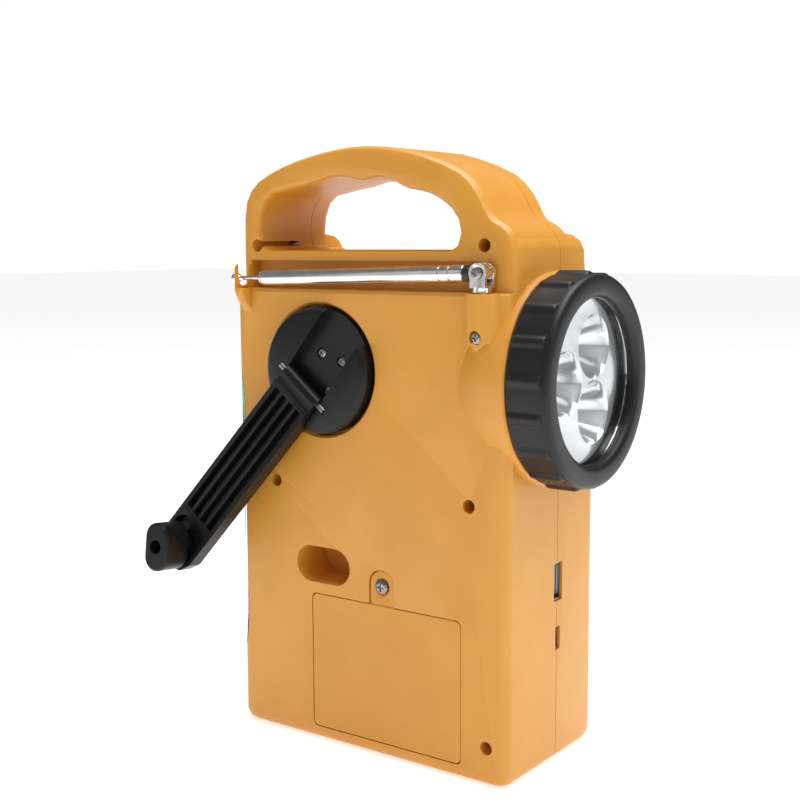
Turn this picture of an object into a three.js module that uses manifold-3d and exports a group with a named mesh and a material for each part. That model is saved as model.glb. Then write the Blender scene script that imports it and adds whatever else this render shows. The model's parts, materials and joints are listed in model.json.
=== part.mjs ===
// Hand-crank emergency radio with a side torch, a side lantern and a folding crank.
// Millimetres, +Z up. The base stands on Z = 0, the crank face looks along +Y,
// the torch points along -X and the lantern is on the +X side.
import * as THREE from "three";
import { mergeVertices } from "three/addons/utils/BufferGeometryUtils.js";
import Module from "manifold-3d";

const wasm = await Module();
wasm.setup();

// ---- overall sizes ----
const BODY_WIDTH = 118.7;
const BODY_DEPTH = 62.5;
const BODY_HEIGHT = 187;
const HANDLE_RISE = 30;
const HANDLE_DEPTH = 40;
const WALL = 2.4;
const SEAM_DEPTH = 34;
const EDGE_REAR = 3.6;
const EDGE_FRONT = 5;
const EDGE_TOP = 6;
const REAR = 30;
const BASE_EDGE = 4;

// ---- clearances ----
const GAP = 0.3;
const RUN_GAP = 0.5;

// ---- crank ----
const CRANK_X = 18.85;
const CRANK_DROP = 48.6;
const RECESS_RADIUS = 23.8;
const RECESS_DEPTH = 4.6;
const DISC_RADIUS = 22.8;
const DISC_PROUD = 4.6;
const ARM_ANGLE = 51.2;
const ARM_RISE = 9;
const ARM_LENGTH = 79.7;
const ARM_WIDTH = 18.4;
const ARM_THICK = 6.4;
const HINGE_OFFSET = 8.1;
const HINGE_PIN_RADIUS = 1.1;
const KNOB_LONG = 18;
const KNOB_SHORT = 10.6;
const KNOB_LENGTH = 17;

// ---- torch ----
const LAMP_DROP = 49.8;
const LAMP_RADIUS = 36.2;
const LAMP_RIB = 1.1;
const LAMP_RIBS = 18;
const LAMP_PROUD = 17.8;
const LAMP_MOUTH = 28.2;

// ---- lantern ----
const LANTERN_Z = 83.5;
const LANTERN_HALF_HEIGHT = 56.5;
const LANTERN_HALF_DEPTH = 24;

// ---- antenna ----
const PIVOT_INSET = 9.6;
const PIVOT_DROP = 13.2;
const TUBE_RADIUS = 2.9;
const TUBE_TILT = 1.6;
const TUBE_SHORT = 8.3;

// ---- battery door ----
const DOOR_X = -8.55;
const DOOR_WIDTH = 65;
const DOOR_BASE = 5.4;
const DOOR_HEIGHT = 50.4;
const DOOR_THICK = 1.8;
const TAB_X = -7.65;
const TAB_WIDTH = 10.6;
const TAB_TOP = 68.5;

// ---- derived places ----
const HALF_W = BODY_WIDTH / 2;
const FRONT = REAR - BODY_DEPTH;
const SEAM = REAR - SEAM_DEPTH;
const LEDGE_Z = BODY_HEIGHT - 19.8;
const CRANK_Z = BODY_HEIGHT - CRANK_DROP;
const LAMP_Z = BODY_HEIGHT - LAMP_DROP;
const BAR_TOP = BODY_HEIGHT - 6;
const HANDLE_REAR = REAR - 4;
const HANDLE_FRONT = HANDLE_REAR - HANDLE_DEPTH;
const PIVOT_X = -HALF_W + PIVOT_INSET;
const PIVOT_Z = BODY_HEIGHT - PIVOT_DROP;
const TUBE_Y = REAR + 0.5;
const DISC_FACE = REAR + DISC_PROUD;
const HINGE_Y = DISC_FACE - 0.4;
const CHANNEL_FLOOR = REAR + 0.4;
const POCKET_DROP = ARM_LENGTH - HINGE_OFFSET;
const POCKET_Z = CRANK_Z - POCKET_DROP;
const LAMP_FACE = -HALF_W - LAMP_PROUD;
const BOSS_RADIUS = LAMP_RADIUS + 0.5;

// ---- colours ----
const finish = (color, roughness, metalness = 0) =>
  new THREE.MeshStandardMaterial({ color, roughness, metalness });
const ORANGE = finish(0xe79a3c, 0.45);
const BLACK = finish(0x1a1a1c, 0.4);
const CHROME = finish(0xd8dadd, 0.15, 1);
const STEEL = finish(0x9a9a9c, 0.35, 1);
const CLEAR = finish(0xe8f0f2, 0.1);
const GREEN = finish(0x3fae4a, 0.2);
const BOARD = finish(0x1f6b3a, 0.6);
const BRASS = finish(0xb98a3a, 0.35, 1);
const GREY = finish(0x6a6c70, 0.5);
const WHITE = finish(0xe8e6df, 0.5);

// ---- solids ----
function toSolid(shape) {
  if (!shape.isBufferGeometry) return shape;
  const flat = shape.index ? shape.toNonIndexed() : shape;
  const bare = new THREE.BufferGeometry();
  bare.setAttribute("position", flat.getAttribute("position"));
  const merged = mergeVertices(bare, 1e-4);
  const build = (triVerts) =>
    new wasm.Manifold(
      new wasm.Mesh({
        numProp: 3,
        vertProperties: merged.attributes.position.array,
        triVerts,
      }),
    );
  const triangles = new Uint32Array(merged.index.array);
  const made = build(triangles);
  if (made.volume() >= 0) return made;
  for (let i = 0; i < triangles.length; i += 3) {
    [triangles[i + 1], triangles[i + 2]] = [triangles[i + 2], triangles[i + 1]];
  }
  return build(triangles);
}

const join = (first, ...rest) => rest.reduce((s, r) => s.add(toSolid(r)), toSolid(first));
const cut = (first, ...rest) => rest.reduce((s, r) => s.subtract(toSolid(r)), toSolid(first));
const common = (a, b) => toSolid(a).intersect(toSolid(b));

function toGeometry(solid) {
  const mesh = solid.getMesh();
  const count = mesh.numProp;
  const points = new Float32Array((mesh.vertProperties.length / count) * 3);
  for (let i = 0; i * 3 < points.length; i++) {
    points.set(mesh.vertProperties.subarray(i * count, i * count + 3), i * 3);
  }
  const geometry = new THREE.BufferGeometry();
  geometry.setAttribute("position", new THREE.BufferAttribute(points, 3));
  geometry.setIndex(new THREE.BufferAttribute(new Uint32Array(mesh.triVerts), 1));
  const faceted = geometry.toNonIndexed();
  faceted.computeVertexNormals();
  return faceted;
}

const group = new THREE.Group();
function add(name, shape, material) {
  const mesh = new THREE.Mesh(toGeometry(toSolid(shape)), material);
  mesh.name = name;
  group.add(mesh);
}

// ---- shapes ----
const TO_X = new THREE.Matrix4().set(0, 0, 1, 0, 1, 0, 0, 0, 0, 1, 0, 0, 0, 0, 0, 1);

// A box between two corners.
function box(x0, x1, y0, y1, z0, z1) {
  const shape = new THREE.BoxGeometry(x1 - x0, y1 - y0, z1 - z0);
  return shape.translate((x0 + x1) / 2, (y0 + y1) / 2, (z0 + z1) / 2);
}

// A round bar or cone along X, Y or Z from a start point.
function bar(axis, x, y, z, length, radius, endRadius = radius, sides = 20) {
  const shape = new THREE.CylinderGeometry(endRadius, radius, length, sides);
  shape.translate(0, length / 2, 0);
  if (axis === "x") shape.rotateZ(-Math.PI / 2);
  if (axis === "z") shape.rotateX(Math.PI / 2);
  return shape.translate(x, y, z);
}

// A profile of [radius, height] pairs turned about an axis through a point.
function turned(axis, x, y, z, profile, sides = 36) {
  const points = profile.map(([r, h]) => new THREE.Vector2(Math.max(r, 0), h));
  const shape = new THREE.LatheGeometry(points, sides);
  if (axis === "x") shape.rotateZ(-Math.PI / 2);
  if (axis === "z") shape.rotateX(Math.PI / 2);
  return shape.translate(x, y, z);
}

// An outline drawn in X and Z, pushed along Y from y0 to y1.
function plateY(outline, y0, y1, bevel = 0) {
  const shape = new THREE.ExtrudeGeometry(outline, {
    depth: y1 - y0 - 2 * bevel,
    bevelEnabled: bevel > 0,
    bevelThickness: bevel,
    bevelSize: bevel,
    bevelOffset: -bevel,
    bevelSegments: 1,
    curveSegments: 4,
  });
  return shape.rotateX(Math.PI / 2).translate(0, y1 - bevel, 0);
}

// An outline drawn in Y and Z, pushed along X from x0 to x1.
function plateX(outline, x0, x1, bevel = 0) {
  const shape = new THREE.ExtrudeGeometry(outline, {
    depth: x1 - x0 - 2 * bevel,
    bevelEnabled: bevel > 0,
    bevelThickness: bevel,
    bevelSize: bevel,
    bevelOffset: -bevel,
    bevelSegments: 1,
    curveSegments: 4,
  });
  return shape.applyMatrix4(TO_X).translate(x0 + bevel, 0, 0);
}

// A rectangle with rounded corners.
function roundedRect(cx, cz, width, height, radius) {
  const r = Math.min(radius, width / 2 - 0.01, height / 2 - 0.01);
  const [x, z] = [cx - width / 2, cz - height / 2];
  const shape = new THREE.Shape();
  shape.moveTo(x + r, z);
  shape.lineTo(x + width - r, z);
  shape.absarc(x + width - r, z + r, r, -Math.PI / 2, 0);
  shape.lineTo(x + width, z + height - r);
  shape.absarc(x + width - r, z + height - r, r, 0, Math.PI / 2);
  shape.lineTo(x + r, z + height);
  shape.absarc(x + r, z + height - r, r, Math.PI / 2, Math.PI);
  shape.lineTo(x, z + r);
  shape.absarc(x + r, z + r, r, Math.PI, 1.5 * Math.PI);
  return shape;
}

const polygon = (pairs) => new THREE.Shape(pairs.map(([a, b]) => new THREE.Vector2(a, b)));

// Skin through rings that all have the same number of points, closed at both ends.
function skin(rings) {
  const count = rings[0].length;
  const points = rings.flat();
  const faces = [];
  for (let k = 0; k + 1 < rings.length; k++) {
    for (let i = 0; i < count; i++) {
      const j = (i + 1) % count;
      const [a, b] = [k * count + i, k * count + j];
      faces.push(a, b, b + count, a, b + count, a + count);
    }
  }
  const flatten = (ring) => {
    const spread = [0, 1, 2].map((axis) => {
      const values = ring.map((p) => p[axis]);
      return Math.max(...values) - Math.min(...values);
    });
    const drop = spread.indexOf(Math.min(...spread));
    const keep = [0, 1, 2].filter((axis) => axis !== drop);
    return ring.map((p) => new THREE.Vector2(p[keep[0]], p[keep[1]]));
  };
  const first = THREE.ShapeUtils.triangulateShape(flatten(rings[0]), []);
  const last = (rings.length - 1) * count;
  for (const [a, b, c] of first) {
    faces.push(c, b, a);
    faces.push(last + a, last + b, last + c);
  }
  const shape = new THREE.BufferGeometry();
  const flat = new Float32Array(points.flat());
  shape.setAttribute("position", new THREE.BufferAttribute(flat, 3));
  shape.setIndex(faces);
  return shape;
}

// Moves a closed outline outwards (or inwards for a negative distance).
function offset(outline, distance) {
  const count = outline.length;
  return outline.map(([x, z], i) => {
    const [px, pz] = outline[(i + count - 1) % count];
    const [nx, nz] = outline[(i + 1) % count];
    const [tx, tz] = [nx - px, nz - pz];
    const length = Math.hypot(tx, tz);
    return [x + (tz / length) * distance, z - (tx / length) * distance];
  });
}

// ---- body outlines ----
function sideInset(z) {
  const low = BASE_EDGE - z;
  const high = z - (BODY_HEIGHT - EDGE_TOP);
  if (low > 0) return BASE_EDGE - Math.sqrt(BASE_EDGE ** 2 - low ** 2);
  if (high > 0) return EDGE_TOP - Math.sqrt(Math.max(EDGE_TOP ** 2 - high ** 2, 0));
  return 0;
}

// The front leans back above the middle of the body.
const frontAt = (z) => FRONT + Math.max(0, z - 0.63 * BODY_HEIGHT) * 0.125;
const rearAt = (z, above) => (z > LEDGE_Z || above ? HANDLE_REAR : REAR);

function bodyRing(z, inset, above = false, rearDraw = 0) {
  const shrink = inset + sideInset(z);
  const half = HALF_W - shrink;
  const [y0, y1] = [frontAt(z) + shrink, rearAt(z, above) - shrink - rearDraw];
  const ring = [];
  const corner = (cx, cy, radius, start) => {
    for (let i = 0; i <= 4; i++) {
      const angle = ((start + i * 22.5) * Math.PI) / 180;
      ring.push([cx + radius * Math.cos(angle), cy + radius * Math.sin(angle), z]);
    }
  };
  const front = Math.max(EDGE_FRONT - inset, 1);
  const rear = Math.max(EDGE_REAR - inset, 1);
  corner(-half + front, y0 + front, front, 180);
  corner(half - front, y0 + front, front, 270);
  corner(half - rear, y1 - rear, rear, 0);
  corner(-half + rear, y1 - rear, rear, 90);
  return ring;
}

function bodySolid(inset, bottom, top) {
  const heights = [0.1, 0.4, 1].map((f) => f * BASE_EDGE);
  const low = heights.filter((z) => z > bottom && z < top);
  const levels = [bottom, ...low];
  if (top > 0.63 * BODY_HEIGHT) levels.push(0.63 * BODY_HEIGHT);
  const rings = levels.map((z) => bodyRing(z, inset));
  if (top > LEDGE_Z) {
    rings.push(bodyRing(LEDGE_Z - 1.2, inset));
    rings.push(bodyRing(LEDGE_Z, inset, false, 0.8));
    rings.push(bodyRing(LEDGE_Z, inset, true));
    for (const f of [0, 0.5, 0.85]) {
      const z = BODY_HEIGHT - EDGE_TOP + f * EDGE_TOP;
      if (z < top - 0.01) rings.push(bodyRing(z, inset, true));
    }
  }
  rings.push(bodyRing(top, inset, top > LEDGE_Z));
  return toSolid(skin(rings));
}

// The outer line of the handle arch, [x, z above the body's shoulder].
const ARCH = [
  [1, -37], [1, -12], [1, 5], [0.968, 14], [0.885, 19.3], [0.774, 22.6], [0.617, 25.6],
  [0.452, 27.8], [0.304, 29.2], [0.152, 30], [-0.006, 29.9], [-0.256, 28.1], [-0.438, 25],
  [-0.623, 20.5], [-0.717, 16], [-0.775, 11], [-0.812, 7], [-0.85, 4.2], [-0.91, 2.4],
  [-0.965, -0.6], [-0.993, -6], [-1, -14], [-1, -37],
];
// The line of the finger opening, [x, z above the body's shoulder].
const OPENING = [
  [-0.564, -6], [-0.627, -3.5], [-0.633, 2.5], [-0.588, 6.8], [-0.525, 10], [-0.457, 12.3],
  [-0.38, 13.9], [-0.287, 14.8], [-0.22, 16.2], [-0.142, 18.6], [-0.07, 19.3], [0.008, 18.6],
  [0.076, 18.4], [0.144, 19.3], [0.221, 20], [0.308, 19.7], [0.4, 18.2], [0.521, 16.9],
  [0.735, 15], [0.822, 11], [0.856, 4], [0.851, -3.5], [0.793, -6],
];

function smooth(pairs, steps) {
  const points = pairs.map(([x, z]) => {
    const lift = z > 0 ? (z * HANDLE_RISE) / 30 : z;
    return new THREE.Vector3(x * HALF_W, BODY_HEIGHT + lift, 0);
  });
  const curve = new THREE.CatmullRomCurve3(points, false, "centripetal");
  return curve.getPoints(steps).map((p) => [p.x, p.y]);
}

const archLine = smooth(ARCH, 32);
const openingLine = smooth(OPENING, 28).reverse();

// A line pushed along Y, with its size changed at each step: [y, outward distance].
function alongY(line, steps) {
  return skin(steps.map(([y, grow]) => offset(line, grow).map(([x, z]) => [x, y, z])));
}

// Steps that round both ends: sign 1 draws the line in, sign -1 flares it out.
const rounded = (y0, y1, size, sign) => [
  [y0, -sign * size],
  [y0 + size * 0.29, -sign * size * 0.29],
  [y0 + size, 0],
  [y1 - size, 0],
  [y1 - size * 0.29, -sign * size * 0.29],
  [y1, -sign * size],
];

// ---- housing ----
const LEG_ROUND = 3.2;
const OPEN_FLARE = 1.8;
const arch = alongY(archLine, rounded(HANDLE_FRONT, HANDLE_REAR, LEG_ROUND, 1));
const flare = rounded(HANDLE_FRONT, HANDLE_REAR, OPEN_FLARE, -1);
const opening = alongY(openingLine, [
  [FRONT - 5, OPEN_FLARE],
  ...flare,
  [REAR + 5, OPEN_FLARE],
]);
const openingWall = alongY(openingLine, [
  [FRONT - 5, WALL],
  [REAR + 5, WALL],
]);
const archRoom = alongY(archLine, [
  [HANDLE_FRONT + WALL, -WALL],
  [HANDLE_REAR - WALL, -WALL],
]);

const bossProfile = [
  [0, -HALF_W + 36], [BOSS_RADIUS - 12.7, -HALF_W + 28], [BOSS_RADIUS - 4.7, -HALF_W + 16],
  [BOSS_RADIUS - 0.8, -HALF_W + 7],
  [BOSS_RADIUS, -HALF_W + 1], [BOSS_RADIUS, -HALF_W - 1.2], [BOSS_RADIUS - 0.8, -HALF_W - 2],
  [0, -HALF_W - 2],
];
const boss = turned("x", 0, 0, LAMP_Z, bossProfile, 36);
const bossRoom = turned(
  "x",
  0,
  0,
  LAMP_Z,
  bossProfile.slice(0, 4).map(([r, x]) => [Math.max(r - WALL, 0), x - WALL * 0.7])
    .concat([[BOSS_RADIUS - WALL, -HALF_W + 1.4], [0, -HALF_W + 1.4]]),
  24,
);

// Post that carries the antenna, half round and sloping in at its foot.
const postRadius = 6.2;
const postX = PIVOT_X;
const postY = TUBE_Y + 0.2;
const post = join(
  bar("z", postX, postY - 1.4, LEDGE_Z - 16, 16, postRadius, postRadius, 28),
  box(postX - postRadius, postX + postRadius, REAR - 5, postY - 1.4, LEDGE_Z - 16, LEDGE_Z),
  bar("z", postX, REAR - 2, LEDGE_Z - 22, 6.2, 3, postRadius - 0.4, 28),
);

// Catch that the antenna's tip lies in, open at its top.
const catchX = HALF_W - 5.9;
const tubeZAt = (x) => PIVOT_Z - Math.tan((TUBE_TILT * Math.PI) / 180) * (x - PIVOT_X);
const catchZ = tubeZAt(catchX);
const catchTab = plateX(
  polygon([
    [REAR - 8, catchZ - 13], [REAR - 0.5, catchZ - 13], [TUBE_Y + 3.4, catchZ - 8],
    [TUBE_Y + 4.8, catchZ - 5], [TUBE_Y + 4.8, catchZ + 3.6], [TUBE_Y + 4, catchZ + 5],
    [TUBE_Y + 3, catchZ + 5], [REAR - 8, catchZ + 5],
  ]),
  catchX - 2,
  catchX + 2,
  0.6,
);
const catchSlot = join(
  box(catchX - 3, catchX + 4, TUBE_Y - 2.9, TUBE_Y + 2.9, catchZ, catchZ + 8),
  bar("x", catchX - 3, TUBE_Y, catchZ, 7, 2.9, 2.9, 20),
);

const outside = join(bodySolid(0, 0, BODY_HEIGHT), arch, boss, post, catchTab);
const swivelRoom = bar("z", postX, TUBE_Y, LEDGE_Z, PIVOT_Z - LEDGE_Z + 6, 4.6, 4.6, 16);
const openOutside = cut(outside, opening, catchSlot, swivelRoom);
const room = cut(
  join(
    bodySolid(WALL, WALL, BODY_HEIGHT - WALL),
    archRoom,
    bossRoom,
  ),
  openingWall,
);

// Long recess that the antenna lies over.
const trough = [HALF_W - 4.6, -HALF_W + 5];
const troughCut = box(trough[1] + 8, trough[0], HANDLE_REAR - 5, REAR + 20, LEDGE_Z, BAR_TOP - 3.5);
const troughWall = box(
  -HALF_W + 2,
  HALF_W - 2,
  HANDLE_REAR - 5 - WALL,
  REAR - 1,
  LEDGE_Z - WALL,
  BAR_TOP - 2,
);

// Pockets, wells and screw holes on the crank face.
const pocketShape = (grow) =>
  roundedRect(CRANK_X, POCKET_Z, 24.8 + grow, 13.6 + grow, 6.8 + grow / 2);
const pocketDepth = KNOB_LENGTH + ARM_THICK / 2 + 1.6 - (HINGE_Y - REAR);
const WELL_RADIUS = 4;
const SCREWS = [
  [HALF_W - 18.7, 96.2], [-HALF_W + 15, LAMP_Z - BOSS_RADIUS - WELL_RADIUS - 0.4],
  [-HALF_W + 7.9, 13.6], [-HALF_W + 11.7, BAR_TOP + 1.7], [HALF_W - 7.4, BAR_TOP + 1.7],
];
const screwFace = (z) => (z > LEDGE_Z ? HANDLE_REAR : REAR);
const HOLE_RADIUS = 2.4;

const doorOutline = (grow) =>
  roundedRect(DOOR_X, DOOR_BASE + DOOR_HEIGHT / 2, DOOR_WIDTH + grow, DOOR_HEIGHT + grow, 2.2);
const tabOutline = (grow) =>
  roundedRect(
    TAB_X,
    TAB_TOP - 9.5,
    TAB_WIDTH + grow,
    19 + grow,
    TAB_WIDTH / 2 - 0.2 + grow / 2,
  );

const wells = [
  plateY(pocketShape(2 * WALL), REAR - pocketDepth - WALL, REAR - 1),
  bar("y", CRANK_X, REAR - RECESS_DEPTH - WALL, CRANK_Z, RECESS_DEPTH + 1, RECESS_RADIUS + 2),
  plateY(tabOutline(5), REAR - 5, REAR - 1),
  ...SCREWS.map(([x, z]) =>
    bar("y", x, SEAM + GAP, z, screwFace(z) - SEAM - 2, WELL_RADIUS, WELL_RADIUS, 14),
  ),
];
const shaftHole = bar("y", CRANK_X, SEAM - 1, CRANK_Z, 60, 4.4);

const postScrewZ = LEDGE_Z - 14.2;
const postFace = postY - 1.4 + postRadius;
const rearCuts = [
  troughCut,
  bar("z", postX, TUBE_Y, LEDGE_Z - 9, 12, 2.3, 2.3, 18),
  bar("y", postX, REAR - 4, postScrewZ, 30, 1.3, 1.3, 12),
  bar("y", postX, postFace - 2.4, postScrewZ, 9, 2.4, 2.4, 20),
  plateY(pocketShape(0), REAR - pocketDepth, REAR + 9),
  turned("y", CRANK_X, REAR - RECESS_DEPTH, CRANK_Z, [
    [0, 0], [RECESS_RADIUS, 0], [RECESS_RADIUS, RECESS_DEPTH - 0.8],
    [RECESS_RADIUS + 1.2, RECESS_DEPTH + 0.4], [RECESS_RADIUS + 1.2, 9], [0, 9],
  ], 48),
  shaftHole,
  plateY(doorOutline(2 * GAP), REAR - DOOR_THICK - GAP, REAR + 9),
  plateY(doorOutline(-5), REAR - 12, REAR + 9),
  plateY(tabOutline(2 * GAP), REAR - DOOR_THICK - GAP, REAR + 9),
  bar("y", TAB_X, REAR - 7, TAB_TOP - 5.8, 9, 1.25, 1.25, 16),
];

// Openings on the torch side for the two sockets.
const USB_Z = 65.2;
const MICRO_Z = 44.8;
const SOCKET_Y = SEAM - 0.75;
const USB_OUT = 5.8;
const USB_TALL = 13.9;
const MICRO_OUT = 3.2;
const MICRO_TALL = 8.4;
const usbSide = (z, width, height) =>
  plateX(roundedRect(SOCKET_Y, z, width, height, 0.5), -HALF_W - 3, -HALF_W + 8);
// Stadium outline of the lantern window, in Y and Z, as a line of points.
function windowLine(grow) {
  const half = LANTERN_HALF_DEPTH + grow;
  const straight = LANTERN_HALF_HEIGHT - LANTERN_HALF_DEPTH;
  const line = [];
  for (const [side, start] of [[1, 0], [-1, 180]]) {
    for (let i = 0; i <= 9; i++) {
      const angle = ((start + i * 20) * Math.PI) / 180;
      line.push([half * Math.cos(angle), LANTERN_Z + side * straight + half * Math.sin(angle)]);
    }
  }
  return line;
}
const alongX = (steps) => skin(steps.map(([x, grow]) => windowLine(grow).map(([y, z]) => [x, y, z])));
const recessCut = alongX([[HALF_W - 12, 0], [HALF_W + 9, 0]]);
// The window wraps round both upright edges, and its ends run out along them.
const WINDOW_REACH = 3.6;
const windowOutline = (grow) => {
  const [low, high] = [LANTERN_Z - LANTERN_HALF_HEIGHT - grow, LANTERN_Z + LANTERN_HALF_HEIGHT + grow];
  const edge = HALF_W - WINDOW_REACH - grow;
  return polygon([
    [edge, low + 15], [edge + 0.5, low + 9], [edge + 1.5, low + 4], [edge + WINDOW_REACH, low],
    [HALF_W + 12, low], [HALF_W + 12, high], [edge + WINDOW_REACH, high], [edge + 1.5, high - 4],
    [edge + 0.5, high - 9], [edge, high - 15],
  ]);
};
const windowCut = plateY(windowOutline(0), FRONT - 5, REAR + 5);
const windowWall = cut(
  box(HALF_W - WINDOW_REACH - WALL, HALF_W, FRONT + 1, REAR - 1, LANTERN_Z - LANTERN_HALF_HEIGHT - 4,
    LANTERN_Z + LANTERN_HALF_HEIGHT + 4),
  windowCut,
  recessCut,
);

const lampBore = bar("x", -HALF_W - 9, 0, LAMP_Z, 12.5, LAMP_RADIUS - 5, LAMP_RADIUS - 5, 36);

// Front controls: speaker grille, dial window, knobs, switches and a button.
const GRILLE_Z = 47;
const DIAL_Z = 104;
const ROW_Z = 86.5;
const KNOB_Z = BODY_HEIGHT - 45;
const TUNING_X = 24;
const VOLUME_X = -12;
const BAND_X = -24;
const MODE_X = 26;
const SIREN_X = 1;
const SLOT_LENGTH = 15;
const DIAL_WIDTH = 66;
const DIAL_HEIGHT = 14;
const grilleSlots = [-2, -1, 0, 1, 2].map((k) => {
  const z = k * 8.6;
  const width = 2 * Math.sqrt(25 ** 2 - z ** 2);
  return plateY(roundedRect(0, GRILLE_Z + z, width, 3, 1), FRONT - 4, FRONT + WALL + 1);
});
const frontCuts = [
  ...grilleSlots,
  plateY(roundedRect(0, DIAL_Z, DIAL_WIDTH, DIAL_HEIGHT, 2), FRONT - 4, FRONT + 9),
  plateY(roundedRect(BAND_X, ROW_Z, SLOT_LENGTH, 5, 1), FRONT - 4, FRONT + 9),
  plateY(roundedRect(MODE_X, ROW_Z, SLOT_LENGTH, 5, 1), FRONT - 4, FRONT + 9),
  bar("y", SIREN_X, FRONT - 4, ROW_Z, 13, 5.3),
  bar("y", TUNING_X, FRONT - 4, KNOB_Z, 16, 3.4),
  bar("y", VOLUME_X, FRONT - 4, KNOB_Z, 16, 3.4),
];

const sideCuts = [
  windowCut,
  recessCut,
  lampBore,
  usbSide(USB_Z, USB_OUT, USB_TALL),
  usbSide(MICRO_Z, MICRO_OUT, MICRO_TALL),
];

// Reach of the boxes that halve the shells, well outside the radio.
const BIG = 400;
const rearHalf = box(-BIG, BIG, SEAM + GAP / 2, BIG, -BIG, BIG);
const frontHalf = box(-BIG, BIG, -BIG, SEAM - GAP / 2, -BIG, BIG);

const screwWide = SCREWS.map(([x, z]) =>
  bar("y", x, SEAM + 8, z, REAR - SEAM, HOLE_RADIUS, HOLE_RADIUS, 16),
);
const screwNarrow = SCREWS.map(([x, z]) => bar("y", x, SEAM - 11, z, 20, 1.5, 1.5, 10));

let rearShell = common(openOutside, rearHalf);
rearShell = cut(rearShell, room);
const rearWalls = [...wells, troughWall, windowWall];
rearShell = join(rearShell, ...rearWalls.map((wall) => common(wall, openOutside)));
rearShell = cut(rearShell, opening, ...rearCuts, ...screwWide, ...screwNarrow, ...sideCuts);
rearShell = common(rearShell, rearHalf);
add("rear_shell", rearShell, ORANGE);

const posts = SCREWS.map(([x, z]) => {
  const y = frontAt(z) + (z > LEDGE_Z ? HANDLE_FRONT - frontAt(z) : 0) + 1;
  return bar("y", x, Math.max(y, FRONT + 1), z, SEAM - GAP - Math.max(y, FRONT + 1), 3.6, 3.6, 14);
});
let frontShell = common(openOutside, frontHalf);
frontShell = cut(frontShell, room);
const frontWalls = [...posts, windowWall];
frontShell = join(frontShell, ...frontWalls.map((wall) => common(wall, openOutside)));
frontShell = cut(frontShell, opening, ...frontCuts, ...screwNarrow, ...sideCuts);
frontShell = common(frontShell, frontHalf);
add("front_shell", frontShell, ORANGE);

// ---- fasteners ----
// A pan-head cross screw whose head faces +Y.
function screw(x, y, z, headRadius, headHeight, shankRadius, shankLength) {
  const head = turned("y", x, y, z, [
    [0, 0], [headRadius, 0], [headRadius * 0.94, headHeight * 0.62], [headRadius * 0.6, headHeight],
    [0, headHeight],
  ], 12);
  const shank = bar("y", x, y - shankLength, z, shankLength + 0.2, shankRadius, shankRadius, 8);
  const arm = headRadius * 0.55;
  const width = headRadius * 0.14;
  const deep = y + headHeight * 0.45;
  return cut(
    join(head, shank),
    box(x - arm, x + arm, deep, y + 9, z - width, z + width),
    box(x - width, x + width, deep, y + 9, z - arm, z + arm),
  );
}
SCREWS.forEach(([x, z], i) => {
  add(`case_screw_${i + 1}`, screw(x, SEAM + 8 + GAP, z, 2.1, 1.8, 1.2, 17), STEEL);
});

// ---- battery door and cells ----
const doorSolid = cut(
  join(
    plateY(doorOutline(0), REAR - DOOR_THICK, REAR),
    common(
      plateY(tabOutline(0), REAR - DOOR_THICK, REAR - 0.6),
      box(-BIG, BIG, -BIG, BIG, DOOR_BASE + DOOR_HEIGHT - 6, BIG),
    ),
  ),
  bar("y", TAB_X, REAR - 4, TAB_TOP - 5.8, 9, 1.5, 1.5, 16),
  bar("y", TAB_X, REAR - 1.2, TAB_TOP - 5.8, 9, 3.1, 3.1, 20),
);
add("battery_door", doorSolid, ORANGE);
add("battery_door_screw", screw(TAB_X, REAR - 1.2 + GAP, TAB_TOP - 5.8, 2.7, 1.4, 0.9, 3.4), STEEL);

const CELL_RADIUS = 7.1;
const CELL_LENGTH = 50;
const CELL_Y = REAR - 6 - CELL_RADIUS;
const bayLow = DOOR_BASE + 2.8;
const bay = cut(
  box(DOOR_X - 29, DOOR_X + 29, CELL_Y - 9.4, REAR - 5.4, bayLow, bayLow + 46.4),
  box(DOOR_X - 27.8, DOOR_X + 27.8, CELL_Y - 8, REAR, bayLow + 1.2, bayLow + 45.2),
);
add("battery_bay", bay, BLACK);
for (let i = 0; i < 3; i++) {
  const z = bayLow + 1.2 + GAP + CELL_RADIUS + i * (2 * CELL_RADIUS + GAP);
  const cell = join(
    bar("x", DOOR_X - CELL_LENGTH / 2, CELL_Y, z, CELL_LENGTH - 1, CELL_RADIUS, CELL_RADIUS, 20),
    bar("x", DOOR_X + CELL_LENGTH / 2 - 1.2, CELL_Y, z, 1.4, 2.7, 2.7, 10),
  );
  add(`battery_cell_${i + 1}`, cell, GREEN);
}

// ---- antenna ----
const swivelLow = LEDGE_Z + GAP;
const forkRadius = 3.4;
const swivel = join(
  bar("z", postX, TUBE_Y, LEDGE_Z - 8, 9, 1.9, 1.9, 12),
  bar("z", postX, TUBE_Y, swivelLow, 2.3, 3.3, 3.1, 16),
  cut(
    join(
      bar("y", PIVOT_X, TUBE_Y - 3.1, PIVOT_Z, 6.2, forkRadius, forkRadius, 18),
      box(PIVOT_X - 2.9, PIVOT_X + 2.9, TUBE_Y - 3.1, TUBE_Y + 3.1, swivelLow + 1.5, PIVOT_Z),
    ),
    box(PIVOT_X - 9, PIVOT_X + 9, TUBE_Y - 1.8, TUBE_Y + 1.8, swivelLow + 2.3, PIVOT_Z + 9),
    bar("y", PIVOT_X, TUBE_Y - 5, PIVOT_Z, 10, 1.3, 1.3, 10),
  ),
);
add("antenna_swivel", swivel, CHROME);
add("antenna_post_screw", screw(postX, postFace - 2.4 + GAP, postScrewZ, 2.1, 1.4, 1, 4), STEEL);
add("antenna_pivot_screw", screw(PIVOT_X, TUBE_Y + 3.1 + GAP, PIVOT_Z, 2, 1, 1, 6), STEEL);

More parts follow.
